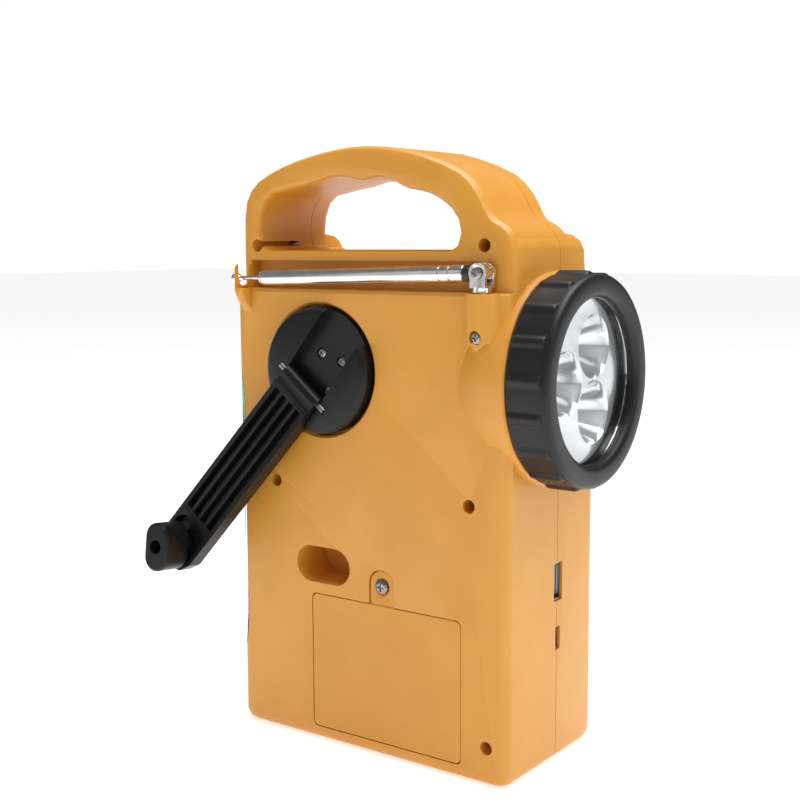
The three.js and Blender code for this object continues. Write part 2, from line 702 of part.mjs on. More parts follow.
// Pieces of the antenna are drawn along +X from the pivot, then tilted about it.
function aim(shape) {
  const turn = new THREE.Matrix4().makeRotationY((TUBE_TILT * Math.PI) / 180);
  const geometry = shape.isBufferGeometry ? shape : toGeometry(shape);
  return geometry.applyMatrix4(turn).translate(PIVOT_X, TUBE_Y, PIVOT_Z);
}
const SECTION_GAP = 0.28;
const SECTION_WALL = 0.42;
const tubeEnd = (catchX - TUBE_SHORT - PIVOT_X) / Math.cos((TUBE_TILT * Math.PI) / 180);
function section(start, end, radius, hollow) {
  const inner = radius - SECTION_WALL;
  const lip = 0.5;
  const profile = [
    [inner * hollow, start], [radius - lip, start], [radius, start + lip],
    [radius, end - lip], [radius - lip * 0.6, end], [inner * hollow, end],
  ];
  return turned("x", 0, 0, 0, hollow ? [...profile, profile[0]] : profile, 18);
}
const rootEye = cut(
  join(
    bar("y", 0, -1.5, 0, 3, 3, 3, 24),
    box(0, 4.6, -1.5, 1.5, -2.1, 2.1),
    turned("x", 0, 0, 0, [[0, 4], [2.4, 4], [TUBE_RADIUS, 4.8], [TUBE_RADIUS, 6.4], [0, 6.4]], 18),
    section(6, tubeEnd, TUBE_RADIUS, 1),
  ),
  bar("y", 0, -5, 0, 10, 1.3, 1.3, 14),
  turned("x", 0, 0, 0, [[TUBE_RADIUS + 1, 11], [TUBE_RADIUS - 0.25, 11.4], [TUBE_RADIUS - 0.25, 11.9],
    [TUBE_RADIUS + 1, 12.3], [TUBE_RADIUS + 1, 11]], 18),
  turned("x", 0, 0, 0, [[TUBE_RADIUS + 1, 15], [TUBE_RADIUS - 0.25, 15.4], [TUBE_RADIUS - 0.25, 15.9],
    [TUBE_RADIUS + 1, 16.3], [TUBE_RADIUS + 1, 15]], 18),
);
add("antenna_tube", aim(rootEye), CHROME);
const radius2 = TUBE_RADIUS - SECTION_WALL - SECTION_GAP;
const radius3 = radius2 - SECTION_WALL - SECTION_GAP;
const rodRadius = radius3 - SECTION_WALL - SECTION_GAP;
const beadX = (HALF_W - 1.1 - PIVOT_X) / Math.cos((TUBE_TILT * Math.PI) / 180);
add("antenna_section_2", aim(section(8, tubeEnd + 0.9, radius2, 1)), CHROME);
add("antenna_section_3", aim(section(9, tubeEnd + 1.8, radius3, 1)), CHROME);
const tip = turned("x", 0, 0, 0, [
  [0, 10], [rodRadius, 10], [rodRadius, beadX - 1.6], [1.3, beadX - 1.4], [1.9, beadX - 0.6],
  [1.9, beadX + 0.6], [1.3, beadX + 1.6], [0, beadX + 2],
], 20);
add("antenna_tip", aim(tip), STEEL);

// ---- crank ----
const toRad = (degrees) => (degrees * Math.PI) / 180;
// The arm is drawn along +X from the hinge with its pin along Z and its outer face on +Y.
const armTurn = new THREE.Matrix4()
  .makeRotationY(toRad(ARM_ANGLE))
  .multiply(new THREE.Matrix4().makeTranslation(HINGE_OFFSET, 0, 0));
const liftTurn = new THREE.Matrix4().makeRotationZ(toRad(ARM_RISE));
function onDisc(shape) {
  const geometry = shape.isBufferGeometry ? shape : toGeometry(shape);
  const turn = new THREE.Matrix4().makeRotationY(toRad(ARM_ANGLE));
  return geometry.applyMatrix4(turn).translate(CRANK_X, 0, CRANK_Z);
}
function onArm(shape) {
  const geometry = shape.isBufferGeometry ? shape : toGeometry(shape);
  geometry.applyMatrix4(liftTurn).applyMatrix4(armTurn);
  return geometry.translate(CRANK_X, HINGE_Y, CRANK_Z);
}
const HINGE_RADIUS = 2.9;
const channelHalf = ARM_WIDTH / 2 + RUN_GAP;
const discLow = REAR - RECESS_DEPTH + GAP;
const pinHalf = ARM_WIDTH / 2 + 3.4;
const discScrews = [[-5.5, 3.2], [3.5, -9.5 + 2], [-9, -5.5]];
const disc = cut(
  turned("y", 0, 0, 0, [
    [0, discLow], [DISC_RADIUS, discLow], [DISC_RADIUS, DISC_FACE - 2.2],
    [DISC_RADIUS - 1, DISC_FACE - 0.7], [DISC_RADIUS - 2.8, DISC_FACE], [0, DISC_FACE],
  ], 48),
  box(-40, 40, CHANNEL_FLOOR, 60, -channelHalf, channelHalf),
  bar("z", HINGE_OFFSET, HINGE_Y, -pinHalf - GAP, 2 * (pinHalf + GAP), HINGE_PIN_RADIUS + 0.25,
    HINGE_PIN_RADIUS + 0.25, 14),
  box(HINGE_OFFSET - HINGE_PIN_RADIUS - 0.25, HINGE_OFFSET + HINGE_PIN_RADIUS + 0.25, HINGE_Y, 60,
    -pinHalf - GAP, pinHalf + GAP),
  ...discScrews.map(([x, z]) => bar("y", x, discLow + 1.4, z, 30, 1.1, 1.1, 12)),
  ...discScrews.map(([x, z]) => bar("y", x, CHANNEL_FLOOR - 1.2, z, 30, 2.1, 2.1, 18)),
);
add("crank_disc", onDisc(disc), BLACK);
discScrews.forEach(([x, z], i) => {
  const shape = screw(x, CHANNEL_FLOOR - 1.2 + GAP, z, 1.8, 1.1, 0.8, 2.2);
  add(`crank_disc_screw_${i + 1}`, onDisc(shape), STEEL);
});
add(
  "crank_hinge_pin",
  onDisc(bar("z", HINGE_OFFSET, HINGE_Y, -pinHalf, 2 * pinHalf, HINGE_PIN_RADIUS, HINGE_PIN_RADIUS, 14)),
  STEEL,
);

const armEnd = ARM_LENGTH + ARM_WIDTH / 2;
const armHalf = ARM_THICK / 2;
const armOutline = polygon([
  [4, -ARM_WIDTH / 2], [armEnd - 7, -ARM_WIDTH / 2], [armEnd - 2.2, -ARM_WIDTH / 2 + 2.2],
  [armEnd, -ARM_WIDTH / 2 + 7], [armEnd, ARM_WIDTH / 2 - 7], [armEnd - 2.2, ARM_WIDTH / 2 - 2.2],
  [armEnd - 7, ARM_WIDTH / 2], [4, ARM_WIDTH / 2],
]);
const armBlock = plateY(armOutline, -armHalf, armHalf);
const ribPitch = (ARM_WIDTH - 2.4) / 4;
const grooveEnd = ARM_LENGTH - 14;
const grooves = [-1.5, -0.5, 0.5, 1.5].map((k) =>
  box(6, grooveEnd, -armHalf + 2.2, 9, k * ribPitch - ribPitch / 2 + 0.6, k * ribPitch + ribPitch / 2 - 0.6),
);
const endFloor = plateY(
  roundedRect((grooveEnd + armEnd) / 2 + 0.5, 0, armEnd - grooveEnd - 4.4, ARM_WIDTH - 3.2, 5),
  -armHalf + 2.2,
  9,
);
const arm = cut(
  join(armBlock, bar("z", 0, 0, -ARM_WIDTH / 2, ARM_WIDTH, HINGE_RADIUS, HINGE_RADIUS, 24),
    box(0, 5, -armHalf + 0.6, armHalf - 0.6, -ARM_WIDTH / 2, ARM_WIDTH / 2)),
  ...grooves,
  endFloor,
  bar("z", 0, 0, -40, 80, HINGE_PIN_RADIUS + 0.25, HINGE_PIN_RADIUS + 0.25, 14),
  bar("y", ARM_LENGTH, -9, 0, 20, 1.9, 1.9, 18),
);
add("crank_arm", onArm(arm), BLACK);

const knobLow = -armHalf + 2.2 + GAP;
const knobTop = knobLow + KNOB_LENGTH;
// The knob stands upright on its axle while the arm slopes.
const upright = new THREE.Matrix4()
  .makeTranslation(ARM_LENGTH, 0, 0)
  .multiply(new THREE.Matrix4().makeRotationY(-toRad(ARM_ANGLE)))
  .multiply(new THREE.Matrix4().makeTranslation(-ARM_LENGTH, 0, 0));
const knob = cut(
  join(
    plateY(roundedRect(ARM_LENGTH, 0, KNOB_SHORT, KNOB_LONG, KNOB_SHORT / 2 - 0.1), armHalf + GAP,
      knobTop, 0.8),
    bar("y", ARM_LENGTH, knobLow, 0, armHalf + 1 - knobLow, 4.6, 4.6, 24),
  ),
  bar("y", ARM_LENGTH, knobTop - 8, 0, 20, 2.6, 2.6, 20),
  bar("y", ARM_LENGTH, -9, 0, 40, 1.7, 1.7, 16),
);
add("crank_knob", onArm(toGeometry(knob).applyMatrix4(upright)), BLACK);
const knobScrew = screw(ARM_LENGTH, knobTop - 8 + GAP, 0, 2.3, 1.4, 1.4, knobTop - 8 + armHalf - 0.4);
add("crank_knob_screw", onArm(toGeometry(knobScrew).applyMatrix4(upright)), STEEL);

// ---- gears and dynamo ----
// Outline of a spur gear with a tooth centred on the given direction.
function gearShape(teeth, module, direction) {
  const pitch = (teeth * module) / 2;
  const press = toRad(20);
  const base = pitch * Math.cos(press);
  const involute = (a) => Math.tan(a) - a;
  const half = Math.PI / (2 * teeth) - 0.2 / pitch;
  const at = (r) => {
    const safe = Math.max(r, base);
    return half + involute(press) - involute(Math.acos(base / safe));
  };
  const radii = [-1.15, -0.1, 0.8].map((k) => pitch + k * module);
  const shape = new THREE.Shape();
  for (let i = 0; i < teeth; i++) {
    const middle = direction + (2 * Math.PI * i) / teeth;
    const up = radii.map((r) => [r, middle - at(r)]);
    const down = [...radii].reverse().map((r) => [r, middle + at(r)]);
    for (const [r, a] of [...up, ...down]) {
      const point = [r * Math.cos(a), r * Math.sin(a)];
      if (i === 0 && r === radii[0] && a < middle) shape.moveTo(...point);
      else shape.lineTo(...point);
    }
  }
  return shape;
}
const MODULE = 1.3;
const MAIN_TEETH = 28;
const IDLER_SMALL = 10;
const IDLER_LARGE = 24;
const ROTOR_TEETH = 9;
const idlerWay = toRad(195);
const rotorWay = toRad(235);
const idlerReach = (MODULE * (MAIN_TEETH + IDLER_SMALL)) / 2;
const rotorReach = (MODULE * (IDLER_LARGE + ROTOR_TEETH)) / 2;
const IDLER_X = CRANK_X + idlerReach * Math.cos(idlerWay);
const IDLER_Z = CRANK_Z + idlerReach * Math.sin(idlerWay);
const ROTOR_X = IDLER_X + rotorReach * Math.cos(rotorWay);
const ROTOR_Z = IDLER_Z + rotorReach * Math.sin(rotorWay);
const PLATE_LOW = SEAM + 10.6;
const PLATE_TOP = PLATE_LOW + 1.8;
const LARGE_LOW = PLATE_TOP + 1.2;
const MAIN_LOW = LARGE_LOW + 6.4;
const gear = (x, z, teeth, way, low, high) =>
  toSolid(plateY(gearShape(teeth, MODULE, way), low, high).translate(x, 0, z));
const shaft = cut(
  join(
    bar("y", CRANK_X, PLATE_TOP + 1, CRANK_Z, discLow - GAP - PLATE_TOP - 1, 3.2, 3.2, 20),
    bar("y", CRANK_X, PLATE_LOW - 2, CRANK_Z, 6, 2.2, 2.2, 16),
    gear(CRANK_X, CRANK_Z, MAIN_TEETH, idlerWay, MAIN_LOW, MAIN_LOW + 3.6),
  ),
);
add("crank_gear", shaft, WHITE);
const idler = join(
  bar("y", IDLER_X, PLATE_LOW - 2, IDLER_Z, MAIN_LOW + 5 - PLATE_LOW + 2, 1.6, 1.6, 16),
  gear(IDLER_X, IDLER_Z, IDLER_SMALL, idlerWay + Math.PI + Math.PI / IDLER_SMALL, LARGE_LOW + 3,
    MAIN_LOW + 4.4),
  gear(IDLER_X, IDLER_Z, IDLER_LARGE, rotorWay, LARGE_LOW, LARGE_LOW + 3.4),
);
add("idler_gear", idler, WHITE);
const rotor = join(
  bar("y", ROTOR_X, PLATE_LOW - 10, ROTOR_Z, LARGE_LOW + 5 - PLATE_LOW + 10, 1.5, 1.5, 16),
  gear(ROTOR_X, ROTOR_Z, ROTOR_TEETH, rotorWay + Math.PI + Math.PI / ROTOR_TEETH, LARGE_LOW - 0.6,
    LARGE_LOW + 4),
  bar("y", ROTOR_X, PLATE_LOW - 9, ROTOR_Z, 7, 9, 9, 28),
);
add("dynamo_rotor", rotor, STEEL);
const dynamo = cut(
  bar("y", ROTOR_X, PLATE_LOW - 11.4, ROTOR_Z, 11.1, 13, 13, 36),
  bar("y", ROTOR_X, PLATE_LOW - 9.4, ROTOR_Z, 8, 9.6, 9.6, 28),
  bar("y", ROTOR_X, PLATE_LOW - 20, ROTOR_Z, 40, 2, 2, 16),
);
add("dynamo_body", dynamo, BRASS);
const plate = cut(
  plateY(roundedRect(CRANK_X - 24, CRANK_Z - 12, 62, 48, 5), PLATE_LOW, PLATE_TOP),
  bar("y", CRANK_X, PLATE_LOW - 9, CRANK_Z, 20, 2.6, 2.6, 12),
  bar("y", IDLER_X, PLATE_LOW - 9, IDLER_Z, 20, 2, 2, 12),
  bar("y", ROTOR_X, PLATE_LOW - 9, ROTOR_Z, 20, 2, 2, 12),
);
add("gear_plate", plate, GREY);

// ---- torch ----
const lampRear = -HALF_W - 2 - GAP;
const ribbedEnd = LAMP_FACE + 3;
const bezelBody = turned("x", 0, 0, LAMP_Z, [
  [LAMP_RADIUS - 6.4, -HALF_W + 1], [LAMP_RADIUS - 5.4, -HALF_W + 1],
  [LAMP_RADIUS - 5.4, lampRear], [LAMP_RADIUS - 1, lampRear], [LAMP_RADIUS, lampRear - 0.8],
  [LAMP_RADIUS, LAMP_FACE + 2.2], [LAMP_RADIUS - 0.6, LAMP_FACE + 0.8],
  [LAMP_RADIUS - 2, LAMP_FACE], [LAMP_MOUTH + 1.6, LAMP_FACE], [LAMP_MOUTH, LAMP_FACE + 2.2],
  [LAMP_MOUTH, LAMP_FACE + 4.1], [LAMP_RADIUS - 6.4, LAMP_FACE + 4.1],
  [LAMP_RADIUS - 6.4, -HALF_W + 1],
], 48);
const ribs = [];
for (let i = 0; i < LAMP_RIBS; i++) {
  const angle = (2 * Math.PI * (i + 0.5)) / LAMP_RIBS;
  const reach = LAMP_RADIUS - 1.2;
  ribs.push(bar("x", ribbedEnd - 0.2, reach * Math.cos(angle), LAMP_Z + reach * Math.sin(angle),
    lampRear - 0.8 - ribbedEnd, LAMP_RIB + 1.2, LAMP_RIB + 1.2, 8));
}
const bezelHole = bar("x", LAMP_FACE + 4.1, 0, LAMP_Z, -HALF_W + 2 - LAMP_FACE - 4.1, LAMP_RADIUS - 6.4,
  LAMP_RADIUS - 6.4, 48);
add("lamp_bezel", cut(join(bezelBody, ...ribs), bezelHole), BLACK);
const lensBack = LAMP_FACE + 4.2 + GAP;
const lampInner = LAMP_RADIUS - 6.4 - GAP;
add("lamp_lens", turned("x", 0, 0, LAMP_Z, [
  [0, lensBack], [lampInner, lensBack], [lampInner, lensBack + 2], [0, lensBack + 2],
], 48), CLEAR);
const cupTop = lensBack + 2 + GAP;
const cupDepth = 14;
const CUP_REACH = 13;
const cupRadius = 11.4;
const cups = [0, 120, 240].map((degrees) => [
  CUP_REACH * Math.cos(toRad(degrees)),
  LAMP_Z + CUP_REACH * Math.sin(toRad(degrees)),
]);
const reflector = cut(
  bar("x", cupTop, 0, LAMP_Z, cupDepth + 3, lampInner, lampInner, 48),
  ...cups.map(([y, z]) => turned("x", cupTop, y, z, [
    [0, -1], [cupRadius + 0.3, -1], [cupRadius, 0.2], [9.8, 4], [6.8, 9.4], [3.4, cupDepth],
    [0, cupDepth],
  ], 20)),
  ...cups.map(([y, z]) => bar("x", cupTop + cupDepth - 1, y, z, 9, 2.8, 2.8, 12)),
  turned("x", 0, 0, LAMP_Z, [[lampInner - 2, cupTop + 5], [lampInner + 5, cupTop + 5],
    [lampInner + 5, cupTop + 30], [lampInner - 2, cupTop + 30], [lampInner - 2, cupTop + 5]], 32),
);
add("lamp_reflector", reflector, CHROME);
const ledBase = cupTop + cupDepth + 3 + GAP;
const lampLeds = cups.map(([y, z]) =>
  turned("x", ledBase + 1.4, y, z, [
    [0, 0], [2.5, 0], [2.5, -5.4], [1.8, -7.2], [0, -8],
  ], 12),
);
const plateRadius = CUP_REACH + cupRadius + 2.1;
const lampPlate = bar("x", ledBase + 1.2, 0, LAMP_Z, 1.6, plateRadius, plateRadius, 24);
add("lamp_led_board", join(lampPlate, ...lampLeds), WHITE);

// ---- lantern ----
const LENS_WALL = 1.6;
const dome = common(
  cut(
    bodySolid(0, 1, BODY_HEIGHT - 8),
    bodySolid(LENS_WALL, 0.5, BODY_HEIGHT - 7),
  ),
  plateY(windowOutline(-GAP), FRONT - 5, REAR + 5),
);
const SIGNAL_Z = LANTERN_Z + 0.45 * LANTERN_HALF_HEIGHT;
add("lantern_lens", common(dome, box(-BIG, BIG, -BIG, BIG, -BIG, SIGNAL_Z - GAP / 2)), CLEAR);
add("signal_lens", common(dome, box(-BIG, BIG, -BIG, BIG, SIGNAL_Z + GAP / 2, BIG)), GREEN);
const tray = cut(
  alongX([[HALF_W - 9.2, -5], [HALF_W - 6.3, -0.6]]),
  alongX([[HALF_W - 8, -6.2], [HALF_W - 6, -2.6]]),
  ...[-32, 0, 32].map((z) => bar("x", HALF_W - 20, 0, LANTERN_Z + z, 20, 2.8, 2.8, 16)),
);
add("lantern_reflector", tray, CHROME);
const lanternLeds = [-32, 0, 32].map((z) =>
  turned("x", HALF_W - 9.9, 0, LANTERN_Z + z, [
    [0, 0], [2.4, 0], [2.4, 4.2], [1.8, 5.6], [0, 6.2],
  ], 16),
);
const lanternPlate = box(HALF_W - 10.7, HALF_W - 9.5, -9, 9, LANTERN_Z - 42, LANTERN_Z + 42);
add("lantern_led_board", join(lanternPlate, ...lanternLeds), WHITE);

// ---- boards, sockets and speaker ----
const BOARD_TOP = SOCKET_Y - 3.6;
const mainBoard = cut(
  box(-HALF_W + 4, 34, BOARD_TOP - 1.6, BOARD_TOP, 30, LAMP_Z - BOSS_RADIUS - 10.5),
  bar("y", BAND_X, FRONT, ROW_Z, 40, 1, 1, 12),
);
add("main_board", mainBoard, BOARD);
// A metal socket shell that opens to -X and stands on the board.
function socket(z, out, tall, length, sheet) {
  const [half, rise] = [out / 2 - GAP, tall / 2 - GAP];
  const start = -HALF_W + 0.8;
  return cut(
    join(
      box(start, start + length, SOCKET_Y - half, SOCKET_Y + half, z - rise, z + rise),
      box(start + 2.6, start + length, BOARD_TOP + GAP, SOCKET_Y, z - rise, z + rise),
    ),
    box(start - 1, start + length - 1.2, SOCKET_Y - half + sheet, SOCKET_Y + half - sheet,
      z - rise + sheet, z + rise - sheet),
  );
}
const usbTongue = box(-HALF_W + 2.4, -HALF_W + 15.2, SOCKET_Y - 1.9, SOCKET_Y - 0.5, USB_Z - 5.4,
  USB_Z + 5.4);
add("usb_a_socket", join(socket(USB_Z, USB_OUT, USB_TALL, 15, 0.35), usbTongue), STEEL);
const microTongue = box(-HALF_W + 1.6, -HALF_W + 6, SOCKET_Y - 0.3, SOCKET_Y + 0.3, MICRO_Z - 2.2,
  MICRO_Z + 2.2);
add("micro_usb_socket", join(socket(MICRO_Z, MICRO_OUT, MICRO_TALL, 5.6, 0.3), microTongue), STEEL);

const speakerLow = FRONT + WALL + GAP;
const speakerDeep = (BOARD_TOP - 1.6 - speakerLow) / 1.5;
const deep = (profile) => profile.map(([r, h]) => [r, (h * speakerDeep) / 11.6]);
const basket = turned("y", 0, speakerLow, GRILLE_Z, deep([
  [27, 0], [29, 0], [29, 2.4], [24, 6.4], [16, 7.4], [16, 11.6], [0, 11.6], [0, 10.4], [12, 10.4],
  [12, 6.6], [23, 5.2], [27, 2], [27, 0],
]), 24);
add("speaker_basket", basket, GREY);
const cone = turned("y", 0, speakerLow, GRILLE_Z, deep([
  [0, 2.6], [5.6, 2.2], [7, 3.6], [20, 1], [23, 0.4], [26.6, 0.4], [26.6, 1], [23, 1.2], [20.6, 2],
  [8, 4.8], [8, 9.8], [0, 9.8],
]), 24);
add("speaker_cone", cone, BLACK);

// ---- tuner, controls ----
const controlBase = (z, reach) => Math.min(frontAt(z - reach), frontAt(z + reach)) - 0.5;
const knobBase = controlBase(KNOB_Z, 13);
const stemEnd = FRONT + 13;
function frontKnob(x, radius, height) {
  const grip = [];
  for (let i = 0; i < 12; i++) {
    const angle = (2 * Math.PI * i) / 12;
    grip.push(bar("y", x + (radius + 0.5) * Math.cos(angle), knobBase - height - 1,
      KNOB_Z + (radius + 0.5) * Math.sin(angle), height + 0.2, 1.2, 1.2, 8));
  }
  return cut(
    join(
      turned("y", x, knobBase, KNOB_Z, [
        [0, 0], [radius, 0], [radius, -height + 1], [radius - 1, -height], [0, -height],
      ], 30),
      bar("y", x, knobBase - 1, KNOB_Z, stemEnd - knobBase, 2.9, 2.9, 18),
    ),
    ...grip,
    box(x - 0.5, x + 0.5, knobBase - height - 1, knobBase - height + 0.6, KNOB_Z + 4, KNOB_Z + radius),
  );
}
add("tuning_knob", frontKnob(TUNING_X, 13, 9), BLACK);
add("volume_knob", frontKnob(VOLUME_X, 9, 8), BLACK);
const tuner = box(TUNING_X - 10, TUNING_X + 10, stemEnd + GAP, stemEnd + 7, KNOB_Z - 10, KNOB_Z + 10);
add("tuning_capacitor", tuner, CLEAR);
add("volume_control", bar("y", VOLUME_X, stemEnd + GAP, KNOB_Z, 6, 8, 8, 24), GREY);
add("ferrite_rod", bar("x", -28, FRONT + 18, BODY_HEIGHT - 20, 64, 4, 4, 20), GREY);

add("dial_window", plateY(
  roundedRect(0, DIAL_Z, DIAL_WIDTH - 2 * GAP, DIAL_HEIGHT - 2 * GAP, 1.7),
  FRONT - 0.2,
  FRONT + 1.8,
), CLEAR);
add("dial_scale", box(-DIAL_WIDTH / 2 - 3, DIAL_WIDTH / 2 + 3, FRONT + 5.4, FRONT + 6.6, DIAL_Z - 9,
  DIAL_Z + 9), WHITE);
const pointerStart = -DIAL_WIDTH / 2 + 6;
add("dial_pointer", box(pointerStart - 0.6, pointerStart + 0.6, FRONT + 3.2, FRONT + 4.6, DIAL_Z - 6.4,
  DIAL_Z + 6.4), finish(0xc23a2a, 0.5));

function slideKnob(x) {
  return join(
    box(x - 3, x + 3, FRONT - 2, FRONT + 3, ROW_Z - 2.1, ROW_Z + 2.1),
    box(x - 7, x + 7, FRONT + WALL + GAP, FRONT + WALL + 1.8, ROW_Z - 4, ROW_Z + 4),
    box(x - 2.4, x - 1.6, FRONT - 2.5, FRONT, ROW_Z - 2.1, ROW_Z + 2.1),
    box(x - 0.4, x + 0.4, FRONT - 2.5, FRONT, ROW_Z - 2.1, ROW_Z + 2.1),
    box(x + 1.6, x + 2.4, FRONT - 2.5, FRONT, ROW_Z - 2.1, ROW_Z + 2.1),
  );
}
const slideTravel = SLOT_LENGTH / 2 - 3 - GAP;
add("band_switch", slideKnob(BAND_X - slideTravel), BLACK);
add("light_switch", slideKnob(MODE_X - slideTravel), BLACK);
add("siren_button", turned("y", SIREN_X, FRONT, ROW_Z, [
  [0, -2], [4, -2], [4.9, -1.2], [4.9, WALL + GAP], [6.4, WALL + GAP], [6.4, WALL + 1.8], [0, WALL + 1.8],
], 28), finish(0xb5342a, 0.45));

export default group;
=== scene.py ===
import json
import math

import bmesh
import bpy
from mathutils import Matrix, Vector


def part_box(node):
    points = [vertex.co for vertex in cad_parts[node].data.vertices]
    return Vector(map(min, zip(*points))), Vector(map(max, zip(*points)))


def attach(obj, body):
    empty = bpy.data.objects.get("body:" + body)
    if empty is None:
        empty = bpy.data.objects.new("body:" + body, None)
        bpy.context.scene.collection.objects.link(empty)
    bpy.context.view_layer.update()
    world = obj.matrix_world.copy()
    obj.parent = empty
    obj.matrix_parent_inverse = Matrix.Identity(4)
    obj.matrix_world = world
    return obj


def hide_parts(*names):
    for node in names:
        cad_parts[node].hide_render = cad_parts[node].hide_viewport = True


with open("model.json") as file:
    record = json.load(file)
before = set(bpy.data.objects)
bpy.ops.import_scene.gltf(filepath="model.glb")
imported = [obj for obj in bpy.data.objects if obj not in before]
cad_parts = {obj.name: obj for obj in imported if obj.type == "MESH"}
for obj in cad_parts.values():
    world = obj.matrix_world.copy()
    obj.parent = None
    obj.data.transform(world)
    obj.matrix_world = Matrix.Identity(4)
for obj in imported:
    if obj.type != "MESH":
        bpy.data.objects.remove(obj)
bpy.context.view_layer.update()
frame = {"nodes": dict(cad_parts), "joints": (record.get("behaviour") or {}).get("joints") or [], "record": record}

MM = 0.001
NODES = frame["nodes"]
BODY_OF = {n: b for b, names in frame["record"]["behaviour"]["bodies"].items() for n in names}
SLOT_OF = {n: NODES[n].material_slots[0].material.name.split(".")[0] for n in NODES}


# ---- shared shader groups ----
def new_group(name, inputs, outputs):
    group = bpy.data.node_groups.new(name, "ShaderNodeTree")
    for label, kind, value in inputs:
        socket = group.interface.new_socket(label, in_out="INPUT", socket_type=kind)
        socket.default_value = value
    for label, kind in outputs:
        group.interface.new_socket(label, in_out="OUTPUT", socket_type=kind)
    start = group.nodes.new("NodeGroupInput")
    end = group.nodes.new("NodeGroupOutput")
    return group, start, end


def node(tree, kind, links=None, **settings):
    made = tree.nodes.new(kind)
    for key, value in settings.items():
        setattr(made, key, value)
    for key, value in (links or {}).items():
        socket = made.inputs[key]
        if isinstance(value, bpy.types.NodeSocket):
            tree.links.new(value, socket)
        else:
            socket.default_value = value
    return made


def math_node(tree, operation, a, b=None, clamp=False):
    links = {0: a}
    if b is not None:
        links[1] = b
    return node(tree, "ShaderNodeMath", links, operation=operation, use_clamp=clamp).outputs[0]


def blend_colour(tree, factor, a, b):
    made = node(tree, "ShaderNodeMix", {0: factor, 6: a, 7: b}, data_type="RGBA", blend_type="MIX")
    return made.outputs[2]


def range_node(tree, value, low, high):
    """0 at low, 1 at high, and smooth between."""
    links = {0: value, 1: low, 2: high, 3: 0.0, 4: 1.0}
    return node(tree, "ShaderNodeMapRange", links, interpolation_type="SMOOTHSTEP").outputs[0]


def place(tree):
    return tree.nodes.new("ShaderNodeTexCoord").outputs["Object"]


def build_grain_group():
    """Fine moulded grain, with the slow tone changes of a large moulding."""
    group, start, end = new_group(
        "moulded_grain",
        [("Scale", "NodeSocketFloat", 2600.0), ("Mottle Scale", "NodeSocketFloat", 45.0)],
        [("Height", "NodeSocketFloat"), ("Mottle", "NodeSocketFloat")],
    )
    where = place(group)
    fine = node(group, "ShaderNodeTexNoise", {"Vector": where, "Scale": start.outputs["Scale"],
                                              "Detail": 2.0, "Roughness": 0.55})
    pores = node(group, "ShaderNodeTexVoronoi", {"Vector": where, "Scale": start.outputs["Scale"]})
    height = math_node(group, "MULTIPLY_ADD", fine.outputs[0], 0.7)
    group.links.new(math_node(group, "MULTIPLY", pores.outputs[0], 0.3), height.node.inputs[2])
    slow = node(group, "ShaderNodeTexNoise", {"Vector": where, "Scale": start.outputs["Mottle Scale"],
                                              "Detail": 3.0, "Roughness": 0.5})
    group.links.new(height, end.inputs["Height"])
    group.links.new(range_node(group, slow.outputs[0], 0.3, 0.7), end.inputs["Mottle"])
    return group


def build_wear_group():
    """A mask that is 1 on rubbed outer edges and 0 on flat faces, broken up by noise."""
    group, start, end = new_group(
        "edge_wear",
        [("Reach", "NodeSocketFloat", 0.0006), ("Amount", "NodeSocketFloat", 0.6)],
        [("Mask", "NodeSocketFloat")],
    )
    rounded = node(group, "ShaderNodeBevel", {"Radius": start.outputs["Reach"]}, samples=4)
    face = group.nodes.new("ShaderNodeNewGeometry")
    turn = node(group, "ShaderNodeVectorMath", {0: rounded.outputs[0], 1: face.outputs["True Normal"]},
                operation="DOT_PRODUCT")
    edge = range_node(group, turn.outputs["Value"], 0.995, 0.86)
    breaks = node(group, "ShaderNodeTexNoise", {"Vector": place(group), "Scale": 320.0, "Detail": 4.0})
    broken = range_node(group, breaks.outputs[0], 0.35, 0.68)
    mask = math_node(group, "MULTIPLY", edge, broken)
    group.links.new(math_node(group, "MULTIPLY", mask, start.outputs["Amount"], True), end.inputs["Mask"])
    return group


def build_handling_group():
    """Fine rub marks and smears that change how a surface shines."""
    group, start, end = new_group(
        "handling_marks",
        [("Amount", "NodeSocketFloat", 0.5)],
        [("Smear", "NodeSocketFloat"), ("Scratch", "NodeSocketFloat")],
    )
    where = place(group)
    smear = node(group, "ShaderNodeTexNoise", {"Vector": where, "Scale": 28.0, "Detail": 5.0,
                                               "Distortion": 0.7})
    stretch = node(group, "ShaderNodeMapping", {"Vector": where, "Rotation": (0.4, 0.7, 0.9),
                                                "Scale": (900.0, 40.0, 60.0)})
    lines = node(group, "ShaderNodeTexNoise", {"Vector": stretch.outputs[0], "Scale": 1.0, "Detail": 1.0})
    scratch = range_node(group, lines.outputs[0], 0.70, 0.78)
    amount = start.outputs["Amount"]
    group.links.new(math_node(group, "MULTIPLY", smear.outputs[0], amount), end.inputs["Smear"])
    group.links.new(math_node(group, "MULTIPLY", scratch, amount), end.inputs["Scratch"])
    return group


def build_dust_group():
    """Pale dust that settles on faces that look up."""
    group, start, end = new_group(
        "settled_dust",
        [("Amount", "NodeSocketFloat", 0.2)],
        [("Mask", "NodeSocketFloat")],
    )
    face = group.nodes.new("ShaderNodeNewGeometry")
    split = node(group, "ShaderNodeSeparateXYZ", {0: face.outputs["Normal"]})
    up = range_node(group, split.outputs["Z"], 0.2, 1.0)
    specks = node(group, "ShaderNodeTexNoise", {"Vector": place(group), "Scale": 1500.0, "Detail": 3.0})
    speckled = range_node(group, specks.outputs[0], 0.45, 0.75)
    mask = math_node(group, "MULTIPLY", up, speckled)
    group.links.new(math_node(group, "MULTIPLY", mask, start.outputs["Amount"]), end.inputs["Mask"])
    return group


